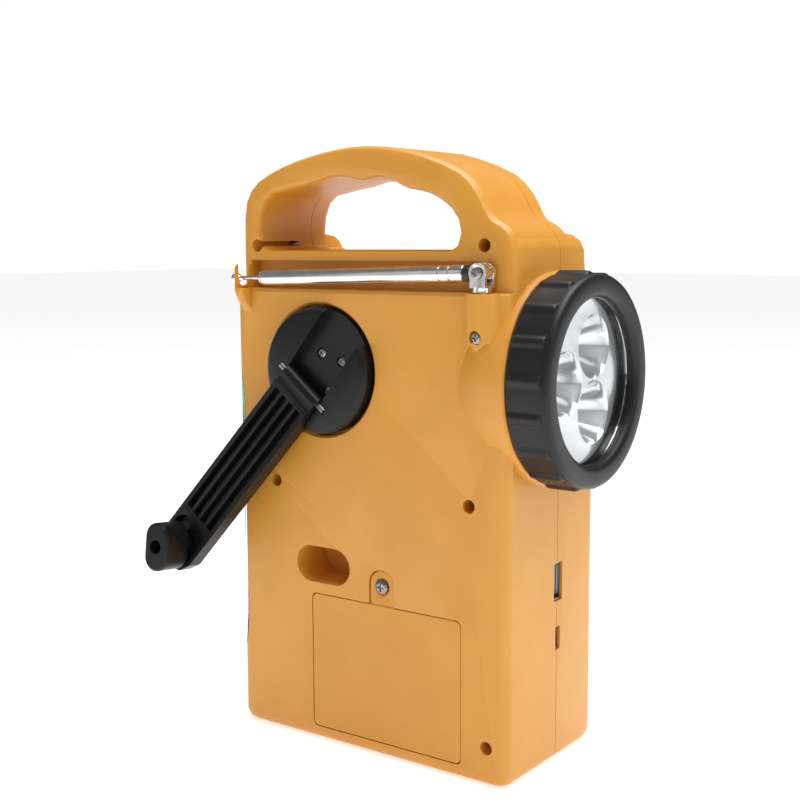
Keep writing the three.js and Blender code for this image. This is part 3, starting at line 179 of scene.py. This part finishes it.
def build_brushed_group():
    """Drawing lines along a metal tube or a turned face."""
    group, start, end = new_group(
        "drawn_metal",
        [("Stretch", "NodeSocketVector", (40.0, 3000.0, 3000.0))],
        [("Height", "NodeSocketFloat"), ("Tone", "NodeSocketFloat")],
    )
    scaled = node(group, "ShaderNodeVectorMath", {0: place(group), 1: start.outputs["Stretch"]},
                  operation="MULTIPLY")
    lines = node(group, "ShaderNodeTexNoise", {"Vector": scaled.outputs[0], "Scale": 1.0, "Detail": 2.0})
    slow = node(group, "ShaderNodeTexNoise", {"Vector": place(group), "Scale": 120.0, "Detail": 2.0})
    group.links.new(lines.outputs[0], end.inputs["Height"])
    group.links.new(range_node(group, slow.outputs[0], 0.35, 0.65), end.inputs["Tone"])
    return group


GRAIN = build_grain_group()
WEAR = build_wear_group()
HANDLING = build_handling_group()
DUST = build_dust_group()
DRAWN = build_brushed_group()


# ---- finishes ----
def group_node(tree, group, **values):
    made = tree.nodes.new("ShaderNodeGroup")
    made.node_tree = group
    for label, value in values.items():
        made.inputs[label.replace("_", " ")].default_value = value
    return made.outputs


def start_finish(name, **values):
    finish = bpy.data.materials.new(name)
    finish.use_nodes = True
    tree = finish.node_tree
    shader = tree.nodes["Principled BSDF"]
    for label, value in values.items():
        shader.inputs[label.replace("_", " ")].default_value = value
    return finish, tree, shader


def rgba(colour):
    return (*colour, 1.0)


WEAR_REACH = 0.6 * MM
GRAIN_RELIEF = 0.12 * MM
SCRATCH_RELIEF = 0.05 * MM


def moulded(name, base, shade, worn, rough=0.42, grain=2600.0, bump=0.10, wear=0.5, dust=0.15, **extra):
    """Moulded plastic: two-tone colour, rubbed edges, grain, smears and a little dust."""
    finish, tree, shader = start_finish(name, **extra)
    skin = group_node(tree, GRAIN, Scale=grain)
    rubbed = group_node(tree, WEAR, Reach=WEAR_REACH, Amount=wear)
    marks = group_node(tree, HANDLING, Amount=0.5)
    settled = group_node(tree, DUST, Amount=dust)
    colour = blend_colour(tree, skin["Mottle"], rgba(base), rgba(shade))
    colour = blend_colour(tree, rubbed["Mask"], colour, rgba(worn))
    dusted = tuple(0.6 * c + 0.12 for c in base)
    colour = blend_colour(tree, settled["Mask"], colour, rgba(dusted))
    tree.links.new(colour, shader.inputs["Base Color"])
    gloss = math_node(tree, "MULTIPLY_ADD", marks["Smear"], 0.22)
    gloss.node.inputs[2].default_value = rough - 0.05
    gloss = math_node(tree, "ADD", gloss, math_node(tree, "MULTIPLY", marks["Scratch"], 0.12))
    gloss = math_node(tree, "ADD", gloss, math_node(tree, "MULTIPLY", settled["Mask"], 0.3), True)
    tree.links.new(gloss, shader.inputs["Roughness"])
    relief = node(tree, "ShaderNodeBump", {"Height": skin["Height"], "Strength": bump,
                                           "Distance": GRAIN_RELIEF})
    scratched = node(tree, "ShaderNodeBump", {"Height": marks["Scratch"], "Strength": 0.10,
                                              "Distance": SCRATCH_RELIEF, "Normal": relief.outputs[0]})
    scratched.invert = True
    tree.links.new(scratched.outputs[0], shader.inputs["Normal"])
    return finish


def metal(name, base, tone, rough=0.22, stretch=(40.0, 3000.0, 3000.0), bump=0.05, **extra):
    """Plated or bare metal with drawing lines, tone changes and fine rubs."""
    finish, tree, shader = start_finish(name, Metallic=1.0, **extra)
    drawn = group_node(tree, DRAWN, Stretch=stretch)
    marks = group_node(tree, HANDLING, Amount=0.6)
    colour = blend_colour(tree, drawn["Tone"], rgba(base), rgba(tone))
    bright = tuple(min(1, c * 1.15) for c in base)
    colour = blend_colour(tree, marks["Scratch"], colour, rgba(bright))
    tree.links.new(colour, shader.inputs["Base Color"])
    gloss = math_node(tree, "MULTIPLY_ADD", marks["Smear"], 0.25)
    gloss.node.inputs[2].default_value = rough - 0.06
    tree.links.new(gloss, shader.inputs["Roughness"])
    relief = node(tree, "ShaderNodeBump", {"Height": drawn["Height"], "Strength": bump,
                                           "Distance": 0.03 * MM})
    tree.links.new(relief.outputs[0], shader.inputs["Normal"])
    return finish


def glass(name, tint, rough=0.03):
    """Clear moulded plastic, with faint flow marks and prints of handling."""
    finish, tree, shader = start_finish(name, IOR=1.49, Transmission_Weight=1.0, Metallic=0.0)
    skin = group_node(tree, GRAIN, Scale=300.0)
    marks = group_node(tree, HANDLING, Amount=0.5)
    colour = blend_colour(tree, skin["Mottle"], rgba(tint), rgba(tuple(0.95 * c for c in tint)))
    tree.links.new(colour, shader.inputs["Base Color"])
    gloss = math_node(tree, "MULTIPLY_ADD", marks["Smear"], 0.10)
    gloss.node.inputs[2].default_value = rough
    tree.links.new(gloss, shader.inputs["Roughness"])
    relief = node(tree, "ShaderNodeBump", {"Height": skin["Height"], "Strength": 0.02,
                                           "Distance": 0.1 * MM})
    tree.links.new(relief.outputs[0], shader.inputs["Normal"])
    return finish


FINISH = {
    "housing_orange": moulded("housing_orange_plastic", (0.68, 0.305, 0.036), (0.645, 0.282, 0.030),
                              (0.88, 0.47, 0.12), rough=0.38, bump=0.10, wear=0.45, dust=0.03,
                              Subsurface_Weight=0.12, Subsurface_Radius=(0.9, 0.35, 0.08),
                              Subsurface_Scale=0.0015),
    "door_orange": moulded("door_orange_plastic", (0.67, 0.299, 0.034), (0.635, 0.276, 0.028),
                           (0.88, 0.47, 0.12), rough=0.39, bump=0.11, wear=0.5, dust=0.03,
                           Subsurface_Weight=0.12, Subsurface_Radius=(0.9, 0.35, 0.08),
                           Subsurface_Scale=0.0015),
    "crank_black": moulded("crank_black_plastic", (0.006, 0.006, 0.0065), (0.009, 0.009, 0.0095),
                           (0.030, 0.030, 0.032), rough=0.34, bump=0.12, wear=0.5, dust=0.02,
                           Specular_IOR_Level=0.28),
    "bezel_black": moulded("bezel_dark_plastic", (0.010, 0.010, 0.011), (0.015, 0.015, 0.016),
                           (0.045, 0.045, 0.048), rough=0.38, bump=0.14, wear=0.5, dust=0.02,
                           Specular_IOR_Level=0.32),
    "control_black": moulded("control_black_plastic", (0.014, 0.014, 0.015), (0.022, 0.022, 0.023),
                             (0.07, 0.07, 0.072), rough=0.40, bump=0.14, wear=0.7, dust=0.10),
    "bay_black": moulded("bay_black_plastic", (0.012, 0.012, 0.012), (0.02, 0.02, 0.02),
                         (0.05, 0.05, 0.05), rough=0.5, dust=0.2),
    "cone_black": moulded("speaker_paper", (0.015, 0.014, 0.013), (0.03, 0.028, 0.026),
                          (0.06, 0.055, 0.05), rough=0.78, grain=1400.0, bump=0.5, dust=0.3),
    "button_red": moulded("button_red_plastic", (0.55, 0.02, 0.012), (0.45, 0.014, 0.01),
                          (0.75, 0.12, 0.08), rough=0.33, wear=0.7),
    "gear_white": moulded("gear_white_nylon", (0.78, 0.76, 0.70), (0.70, 0.68, 0.62),
                          (0.88, 0.87, 0.84), rough=0.42, bump=0.08),
    "dial_white": moulded("dial_cream_card", (0.80, 0.77, 0.68), (0.74, 0.71, 0.62),
                          (0.86, 0.84, 0.78), rough=0.5, bump=0.06),
    "plate_grey": moulded("plate_grey_plastic", (0.16, 0.16, 0.17), (0.12, 0.12, 0.13),
                          (0.30, 0.30, 0.31), rough=0.5),
    "circuit_green": moulded("circuit_green_lacquer", (0.012, 0.13, 0.05), (0.008, 0.09, 0.035),
                             (0.3, 0.3, 0.12), rough=0.3, grain=900.0, bump=0.2),
    "led_board": moulded("lamp_board_white", (0.66, 0.66, 0.62), (0.58, 0.58, 0.55),
                         (0.8, 0.8, 0.78), rough=0.35),
    "cell_wrap": moulded("cell_wrap_film", (0.02, 0.10, 0.20), (0.015, 0.08, 0.16),
                         (0.25, 0.3, 0.35), rough=0.25, bump=0.05),
    "antenna_chrome": metal("antenna_plated_brass", (0.86, 0.86, 0.85), (0.74, 0.74, 0.73), rough=0.17),
    "screw_steel": metal("screw_zinc_steel", (0.42, 0.41, 0.40), (0.28, 0.27, 0.265), rough=0.36,
                         stretch=(1800.0, 1800.0, 1800.0), bump=0.25),
    "reflector_chrome": metal("reflector_vacuum_chrome", (0.90, 0.91, 0.92), (0.82, 0.83, 0.85),
                              rough=0.10, stretch=(300.0, 300.0, 300.0), bump=0.02),
    "socket_steel": metal("socket_bright_steel", (0.60, 0.60, 0.60), (0.48, 0.48, 0.48), rough=0.28),
    "dynamo_metal": metal("dynamo_zinc_case", (0.45, 0.45, 0.46), (0.35, 0.35, 0.36), rough=0.33),
    "clear_lens": glass("lens_clear_acrylic", (0.97, 0.985, 0.99)),
    "frosted_lens": glass("lens_prism_acrylic", (0.93, 0.94, 0.95), rough=0.18),
    "led_lens": glass("led_clear_resin", (0.98, 0.98, 0.96), rough=0.02),
    "led_chip": moulded("led_phosphor", (0.85, 0.72, 0.18), (0.80, 0.65, 0.14), (0.9, 0.8, 0.3)),
    "green_lens": glass("lens_green_acrylic", (0.12, 0.72, 0.30), rough=0.08),
}


# ---- stage, light and camera ----
FLOOR_HALF = 6.0


def build_stage():
    """A plain pale floor of white paper."""
    mesh = bmesh.new()
    bmesh.ops.create_grid(mesh, x_segments=2, y_segments=2, size=FLOOR_HALF)
    data = bpy.data.meshes.new("floor_sheet")
    mesh.to_mesh(data)
    mesh.free()
    floor = bpy.data.objects.new("floor_sheet", data)
    bpy.context.scene.collection.objects.link(floor)
    paper, tree, shader = start_finish("floor_pale_paper", Roughness=0.9)
    slow = node(tree, "ShaderNodeTexNoise", {"Vector": place(tree), "Scale": 3.0})
    tone = blend_colour(tree, slow.outputs[0], rgba((0.90, 0.90, 0.90)), rgba((0.92, 0.92, 0.92)))
    tree.links.new(tone, shader.inputs["Base Color"])
    shader.inputs["Emission Color"].default_value = (1, 1, 1, 1)
    shader.inputs["Emission Strength"].default_value = 0.50
    data.materials.append(paper)


def add_light(name, place_at, look_at, size, power):
    lamp = bpy.data.lights.new(name, "AREA")
    lamp.shape = "RECTANGLE"
    lamp.size, lamp.size_y = size
    lamp.energy = power
    holder = bpy.data.objects.new(name, lamp)
    holder.location = place_at
    aim = Vector(look_at) - Vector(place_at)
    holder.rotation_mode = "QUATERNION"
    holder.rotation_quaternion = aim.to_track_quat("-Z", "Y")
    bpy.context.scene.collection.objects.link(holder)


WALL_LIGHT = 0.50
WALL_SHINE = 0.20
WALL_SEEN = 1.02


def build_light():
    """White studio walls, dimmer in reflections, and three softboxes."""
    world = bpy.data.worlds.new("studio_white")
    world.use_nodes = True
    tree = world.node_tree
    ground = tree.nodes["Background"]
    ground.inputs["Color"].default_value = (1, 1, 1, 1)
    ray = tree.nodes.new("ShaderNodeLightPath")
    shine = tree.nodes.new("ShaderNodeMix")
    shine.inputs[2].default_value = WALL_LIGHT
    shine.inputs[3].default_value = WALL_SHINE
    tree.links.new(ray.outputs["Is Glossy Ray"], shine.inputs[0])
    seen = tree.nodes.new("ShaderNodeMix")
    seen.inputs[3].default_value = WALL_SEEN
    tree.links.new(ray.outputs["Is Camera Ray"], seen.inputs[0])
    tree.links.new(shine.outputs[0], seen.inputs[2])
    tree.links.new(seen.outputs[0], ground.inputs["Strength"])
    bpy.context.scene.world = world
    bpy.context.scene.view_settings.view_transform = "Standard"
    middle = (0, 0, 0.11)
    add_light("overhead_softbox", (-0.15, -0.10, 1.0), middle, (0.9, 0.7), 10.0)
    add_light("left_softbox", (0.75, 0.95, 0.55), middle, (0.35, 0.8), 0.35)
    add_light("torch_side_softbox", (-1.0, 0.10, 0.50), middle, (0.35, 0.8), 1.1)


VIEW_PLACE = (-0.27259, 0.38303, 0.18445)
VIEW_RIGHT = Vector((-0.80954, -0.58704, -0.00476))
VIEW_UP = Vector((0.06877, -0.10288, 0.99231))
VIEW_BACK = Vector((-0.58302, 0.80299, 0.12366))


def build_camera():
    data = bpy.data.cameras.new("view")
    data.lens = 57.65
    data.sensor_width = 36.0
    data.clip_start = 0.01
    data.clip_end = 20.0
    camera = bpy.data.objects.new("view", data)
    turn = Matrix((VIEW_RIGHT, VIEW_UP, VIEW_BACK)).transposed()
    camera.rotation_mode = "QUATERNION"
    camera.rotation_quaternion = turn.to_quaternion()
    camera.location = VIEW_PLACE
    bpy.context.scene.collection.objects.link(camera)
    bpy.context.scene.camera = camera


# ---- making pieces ----
FLAT_DEGREES = 0.6
SAME_PLACE = 1e-7


def clean_mesh(source, name):
    """The CAD solid's surface with shared corners and whole flat faces."""
    mesh = bmesh.new()
    mesh.from_mesh(source.data)
    bmesh.ops.remove_doubles(mesh, verts=mesh.verts, dist=SAME_PLACE)
    bmesh.ops.dissolve_limit(mesh, angle_limit=math.radians(FLAT_DEGREES), verts=mesh.verts,
                             edges=mesh.edges)
    data = bpy.data.meshes.new(name)
    mesh.to_mesh(data)
    mesh.free()
    return data


def add_piece(name, data, body, finish, slot, *stands_for):
    piece = bpy.data.objects.new(name, data)
    bpy.context.scene.collection.objects.link(piece)
    data.materials.clear()
    data.materials.append(FINISH[finish])
    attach(piece, body)
    if stands_for:
        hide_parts(*stands_for)
    return piece


def smooth_shade(data, degrees):
    data.polygons.foreach_set("use_smooth", [True] * len(data.polygons))
    data.set_sharp_from_angle(angle=math.radians(degrees))


def soften(piece, radius, degrees=32.0, steps=2):
    """Small moulding radii along the edges of a piece."""
    modifier = piece.modifiers.new("edge_radius", "BEVEL")
    modifier.width = radius
    modifier.segments = steps
    modifier.limit_method = "ANGLE"
    modifier.angle_limit = math.radians(degrees)
    modifier.miter_outer = "MITER_ARC"
    modifier.use_clamp_overlap = True
    modifier.harden_normals = False


def carry(node_name):
    """Keeps a CAD node as it is, with its own finish."""
    shown = NODES[node_name]
    for place_for in shown.material_slots:
        place_for.material = FINISH[SLOT_OF[node_name]]


def rebuild(node_name, radius):
    """A cleaned copy of a CAD surface, with moulding radii, that stands for it."""
    key = SLOT_OF[node_name]
    name = node_name + "_skin"
    data = clean_mesh(NODES[node_name], name)
    piece = add_piece(name, data, BODY_OF[node_name], key, key, node_name)
    smooth_shade(data, 34.0)
    soften(piece, radius)


build_stage()
build_light()
build_camera()


# ---- turned pieces ----
def turning_frame(axis):
    """Two directions square to an axis."""
    axis = Vector(axis).normalized()
    first = axis.orthogonal().normalized()
    return axis, first, axis.cross(first)


def lathe(mesh, profile, origin, axis, segments, reach):
    """Turns a line of (along, radius) pairs, in mm, about an axis.

    reach(turn, station), where it is given, adds to the radius.
    """
    axis, first, second = turning_frame(axis)
    origin = Vector(origin)
    rings = []
    for station, (along, radius) in enumerate(profile):
        centre = origin + axis * (along * MM)
        if radius == 0:
            rings.append([mesh.verts.new(centre)])
            continue
        ring = []
        for i in range(segments):
            turn = 2 * math.pi * i / segments
            size = (radius + (reach(turn, station) if reach else 0.0)) * MM
            ring.append(mesh.verts.new(centre + (first * math.cos(turn) + second * math.sin(turn)) * size))
        rings.append(ring)
    for lower, upper in zip(rings, rings[1:]):
        for i in range(segments):
            j = (i + 1) % segments
            if len(lower) == 1 and len(upper) == 1:
                continue
            if len(lower) == 1:
                mesh.faces.new((lower[0], upper[j], upper[i]))
            elif len(upper) == 1:
                mesh.faces.new((lower[i], lower[j], upper[0]))
            else:
                mesh.faces.new((lower[i], lower[j], upper[j], upper[i]))
    return rings


def close_ring(mesh, rings, segments):
    """Joins the last station of a turned section back to its first."""
    lower, upper = rings[-1], rings[0]
    for i in range(segments):
        j = (i + 1) % segments
        mesh.faces.new((lower[i], lower[j], upper[j], upper[i]))


def finish_mesh(mesh, name, degrees=38.0):
    bmesh.ops.recalc_face_normals(mesh, faces=mesh.faces)
    data = bpy.data.meshes.new(name)
    mesh.to_mesh(data)
    mesh.free()
    smooth_shade(data, degrees)
    return data


def turned_piece(name, profile, origin, axis, body, finish, slot, *stands_for, segments, loop=False,
                 reach=None):
    mesh = bmesh.new()
    rings = lathe(mesh, profile, origin, axis, segments, reach)
    if loop:
        close_ring(mesh, rings, segments)
    add_piece(name, finish_mesh(mesh, name), body, finish, slot, *stands_for)


# ---- torch ----
RIB_COUNT = 18
RIB_ROUND = 2.3
RIB_SINK = 1.2
RIB_STEPS = 20
RIB_PROUD = RIB_ROUND - RIB_SINK
SPIGOT_LENGTH = 3.35
FRONT_BAND = 2.6
MOUTH_RADIUS = 28.2
BEZEL_WALL = 6.4


def build_lamp_bezel():
    """A turned ring with half-round grip ribs up to its rounded front rim."""
    low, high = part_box("lamp_bezel")
    centre_z = (low.z + high.z) / 2
    rim = (high.z - low.z) / 2 / MM - RIB_PROUD
    face, back = low.x / MM, high.x / MM
    rear = back - SPIGOT_LENGTH
    ribs_end = face + FRONT_BAND
    mouth = MOUTH_RADIUS
    seat = rim - BEZEL_WALL
    # Along the axis, radius, and the share of a full rib that stands there.
    stations = [
        (back, seat + 1.0, 0), (rear, seat + 1.0, 0), (rear, rim - 1.0, 0), (rear - 0.3, rim - 0.3, 0),
        (rear - 0.8, rim, 0), (rear - 0.95, rim, 0.6), (rear - 1.3, rim, 0.88), (rear - 1.9, rim, 1.0),
        (ribs_end + 1.2, rim, 1.0), (ribs_end + 0.5, rim, 0.85), (ribs_end + 0.12, rim, 0.5),
        (ribs_end, rim, 0), (face + 1.9, rim, 0), (face + 1.2, rim - 0.15, 0),
        (face + 0.6, rim - 0.55, 0), (face + 0.15, rim - 1.2, 0), (face, rim - 2.1, 0),
        (face, mouth + 2.2, 0), (face + 0.25, mouth + 1.3, 0), (face + 0.9, mouth + 0.5, 0),
        (face + 2.0, mouth, 0), (face + 4.1, mouth, 0), (face + 4.1, seat, 0), (back, seat, 0),
    ]
    pitch = 2 * math.pi / RIB_COUNT

    def rib(turn, station):
        share = stations[station][2]
        if not share:
            return 0.0
        aside = ((turn + pitch / 2) % pitch - pitch / 2) * (rim - RIB_SINK)
        if abs(aside) >= RIB_ROUND:
            return 0.0
        return share * max(0.0, math.sqrt(RIB_ROUND ** 2 - aside ** 2) - RIB_SINK)

    profile = [(along - face, radius) for along, radius, _ in stations]
    turned_piece("torch_bezel", profile, (low.x, 0, centre_z), (1, 0, 0), "housing", "bezel_black",
                 "bezel_black", "lamp_bezel", segments=RIB_COUNT * RIB_STEPS, loop=True, reach=rib)


CUP_REACH = 13.0
CUP_DEEP = 14.0
CUP_TURNS = (0, 120, 240)
CIRCLE_STEPS = 72
PLATE_DROP = 0.4
REFLECTOR_SHEET = 0.5
# Depth and radius down the wall of one cup.
CUP_LINE = [(0.0, 11.0), (0.35, 10.75), (1.4, 10.3), (3.2, 9.6), (5.4, 8.6), (7.8, 7.3), (10.0, 5.9),
            (12.0, 4.4), (13.4, 3.1)]


LED_LINE = [(0, 0), (0, 2.9), (-0.8, 2.9), (-0.9, 2.5), (-4.6, 2.45), (-5.6, 2.2), (-6.4, 1.7),
            (-6.9, 1.0), (-7.1, 0)]
CHIP_LINE = [(0, 0), (0, 1.5), (-1.6, 1.3), (-1.9, 0)]
CHIP_RAISE = 0.9


def build_lamp_reflector():
    """A chromed plate with three round cups, each with a clear lamp at its bottom."""
    low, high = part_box("lamp_reflector")
    centre_z = (low.z + high.z) / 2
    wide = (high.z - low.z) / 2 / MM
    cups = [(CUP_REACH * math.cos(math.radians(a)), CUP_REACH * math.sin(math.radians(a)))
            for a in CUP_TURNS]
    mesh = bmesh.new()
    steps = CIRCLE_STEPS
    front = low.x + PLATE_DROP * MM

    def circle(y, z, radius, x):
        return [mesh.verts.new((x, (y + radius * math.cos(2 * math.pi * i / steps)) * MM,
                                centre_z + (z + radius * math.sin(2 * math.pi * i / steps)) * MM))
                for i in range(steps)]

    def edges_of(ring):
        return [mesh.edges.new((ring[i], ring[(i + 1) % steps])) for i in range(steps)]

    def wall(lower, upper):
        for i in range(steps):
            j = (i + 1) % steps
            mesh.faces.new((lower[i], lower[j], upper[j], upper[i]))

    outer = circle(0, 0, wide - 1.2, front)
    rim_edges = edges_of(outer)
    for y, z in cups:
        ring = circle(y, z, CUP_LINE[0][1], front)
        rim_edges += edges_of(ring)
        for along, radius in CUP_LINE[1:]:
            following = circle(y, z, radius, front + along * MM)
            wall(ring, following)
            ring = following
        mesh.faces.new(ring)
    bmesh.ops.triangle_fill(mesh, use_beauty=True, use_dissolve=False, edges=rim_edges)
    lip = circle(0, 0, wide - 0.4, low.x + 0.1 * MM)
    wall(outer, lip)
    skirt = circle(0, 0, wide - 0.1, low.x + 0.5 * MM)
    wall(lip, skirt)
    wall(skirt, circle(0, 0, wide - 0.3, low.x + 3.0 * MM))
    data = finish_mesh(mesh, "torch_reflector", 24.0)
    piece = add_piece("torch_reflector", data, "housing", "reflector_chrome", "reflector_chrome",
                      "lamp_reflector", "lamp_led_board")
    thick = piece.modifiers.new("reflector_wall", "SOLIDIFY")
    thick.thickness = REFLECTOR_SHEET * MM
    thick.offset = -1.0
    for number, (y, z) in enumerate(cups, 1):
        base = Vector((low.x + (CUP_DEEP - PLATE_DROP) * MM, y * MM, centre_z + z * MM))
        chip = base - Vector((CHIP_RAISE * MM, 0, 0))
        turned_piece(f"torch_led_{number}", LED_LINE, base, (1, 0, 0), "housing", "led_lens",
                     "led_board", segments=40)
        turned_piece(f"torch_led_chip_{number}", CHIP_LINE, chip, (1, 0, 0), "housing", "led_chip",
                     "led_board", segments=24)


# ---- antenna ----
TUBE_SHEET = 0.42
SECTION_SHEET = 0.4
SECTION_STEP = 0.7
TIP_STEP = 2.1
# Distance from the pivot and radius of each stop on the antenna's root.
COLLAR_START = 3.6
TUBE_START = 6.4
RING_DEEP = 0.28
RINGS = ((11.2, 12.15), (15.2, 16.15))
EYE_LINE = [(-1.5, 1.32), (-1.5, 2.6), (-1.2, 3.0), (1.2, 3.0), (1.5, 2.6), (1.5, 1.32)]
TONGUE_SIZE = (2.6, 2.9, 3.6)
SECTIONS = ((2, "antenna_section_2", "mast_middle"), (3, "antenna_section_3", "mast_inner"))


def build_antenna():
    """A ringed outer tube on an eye and tongue, two inner tubes, and a rod with a bead."""
    joint = {row["name"]: row for row in frame["joints"]}
    pivot = Vector(joint["antenna_lift"]["pos_m"])
    along = Vector(joint["antenna_slide_2"]["axis"])
    low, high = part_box("antenna_tube")
    tube = (high.y - low.y) / 2 / MM
    hollow = tube - TUBE_SHEET

    def end_of(node_name):
        return (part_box(node_name)[1].x - pivot.x) / MM / along.x

    end = end_of("antenna_tube")
    outer = [(TUBE_START, hollow), (TUBE_START, tube - 0.3), (TUBE_START + 0.3, tube)]
    for start, stop in RINGS:
        outer += [(start, tube), (start + 0.25, tube - RING_DEEP), (stop - 0.25, tube - RING_DEEP),
                  (stop, tube)]
    outer += [(end - 1.6, tube), (end - 0.9, tube - 0.12), (end - 0.2, tube - 0.5),
              (end, hollow + 0.05), (end - 0.1, hollow)]
    collar = [(COLLAR_START, 0), (COLLAR_START, 2.2), (COLLAR_START + 0.4, tube), (6.2, tube),
              (6.6, tube - 0.35), (8.4, tube - 0.5), (8.4, 0)]
    turned_piece("antenna_outer_tube", outer, pivot, along, "mast_outer", "antenna_chrome",
                 "antenna_chrome", "antenna_tube", segments=72, loop=True)
    turned_piece("antenna_root_collar", collar, pivot, along, "mast_outer", "control_black",
                 "antenna_chrome", segments=56)
    turned_piece("antenna_root_eye", EYE_LINE, pivot, (0, 1, 0), "mast_outer", "antenna_chrome",
                 "antenna_chrome", segments=48, loop=True)
    mesh = bmesh.new()
    bmesh.ops.create_cube(mesh, size=1.0)
    size = Matrix.Diagonal((*(side * MM for side in TONGUE_SIZE), 1.0))
    turn = along.to_track_quat("X", "Z").to_matrix().to_4x4()
    stand = Matrix.Translation(pivot + along * (COLLAR_START * MM))
    bmesh.ops.transform(mesh, matrix=stand @ turn @ size, verts=mesh.verts)
    tongue = add_piece("antenna_root_tongue", finish_mesh(mesh, "antenna_root_tongue"), "mast_outer",
                       "antenna_chrome", "antenna_chrome")
    soften(tongue, 0.3 * MM, 30, 3)
    for number, node_name, body in SECTIONS:
        size = tube - SECTION_STEP * (number - 1)
        tip = end_of(node_name)
        section = [(10, size - SECTION_SHEET), (10, size), (tip - 0.5, size), (tip - 0.15, size - 0.1),
                   (tip, size - 0.3), (tip, size - SECTION_SHEET)]
        turned_piece(f"antenna_tube_{number}", section, pivot, along, body, "antenna_chrome",
                     "antenna_chrome", node_name, segments=56, loop=True)
    rod = tube - TIP_STEP
    tip = end_of("antenna_tip")
    bead = [(12, 0), (12, rod), (tip - 4.4, rod), (tip - 3.9, rod + 0.25), (tip - 3.4, 1.4),
            (tip - 2.9, 1.75), (tip - 2.2, 1.9), (tip - 1.3, 1.85), (tip - 0.6, 1.5),
            (tip - 0.15, 0.8), (tip, 0)]
    turned_piece("antenna_rod_and_bead", bead, pivot, along, "mast_rod", "antenna_chrome",
                 "antenna_chrome", "antenna_tip", segments=40)


# ---- lantern ----
PRISM_PITCH = 1.6 * MM
PRISM_INSET = 1.9 * MM
PRISM_MARGIN = 3 * MM
PRISM_HALF_WIDTH = 23 * MM
PRISM_CREST = 0.1 * MM
PRISM_VALLEY = 0.9 * MM
PRISM_SHEET = 1.5 * MM


def build_lantern_prisms():
    """Fine prism rows behind the clear lantern lens."""
    low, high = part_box("lantern_lens")
    skin = high.x - PRISM_INSET
    start = low.z + PRISM_MARGIN
    count = int((high.z - PRISM_MARGIN - start) / PRISM_PITCH)
    mesh = bmesh.new()

    def row(x, z):
        return [mesh.verts.new((x, side * PRISM_HALF_WIDTH, z)) for side in (-1, 1)]

    front = []
    for k in range(2 * count + 1):
        depth = PRISM_VALLEY if k % 2 else PRISM_CREST
        front.append(row(skin - depth, start + k * PRISM_PITCH / 2))
    back = [row(skin - PRISM_SHEET, z) for z in (start, start + count * PRISM_PITCH)]
    for lower, upper in zip(front, front[1:]):
        mesh.faces.new((lower[0], lower[1], upper[1], upper[0]))
    mesh.faces.new((back[0][0], back[0][1], back[1][1], back[1][0]))
    mesh.faces.new((front[0][0], front[0][1], back[0][1], back[0][0]))
    mesh.faces.new((front[-1][0], front[-1][1], back[1][1], back[1][0]))
    for side in (0, 1):
        mesh.faces.new([pair[side] for pair in front] + [back[1][side], back[0][side]])
    add_piece("lantern_prism_sheet", finish_mesh(mesh, "lantern_prism_sheet", 20.0), "housing",
              "frosted_lens", "clear_lens")


# ---- the whole radio ----
# Moulding radius of each rebuilt piece, in mm.
SOFT_RADII = {
    "rear_shell": 0.35, "front_shell": 0.35, "battery_door": 0.3, "crank_disc": 0.3, "crank_arm": 0.45,
    "crank_knob": 0.5, "antenna_swivel": 0.25, "tuning_knob": 0.3, "volume_knob": 0.3,
    "band_switch": 0.2, "light_switch": 0.2, "siren_button": 0.3, "dial_window": 0.2,
    "lantern_lens": 0.2, "signal_lens": 0.2,
}
for soft_node, soft_radius in SOFT_RADII.items():
    rebuild(soft_node, soft_radius * MM)
build_lamp_bezel()
build_lamp_reflector()
build_antenna()
build_lantern_prisms()
for other in sorted(NODES):
    if not NODES[other].hide_render:
        carry(other)
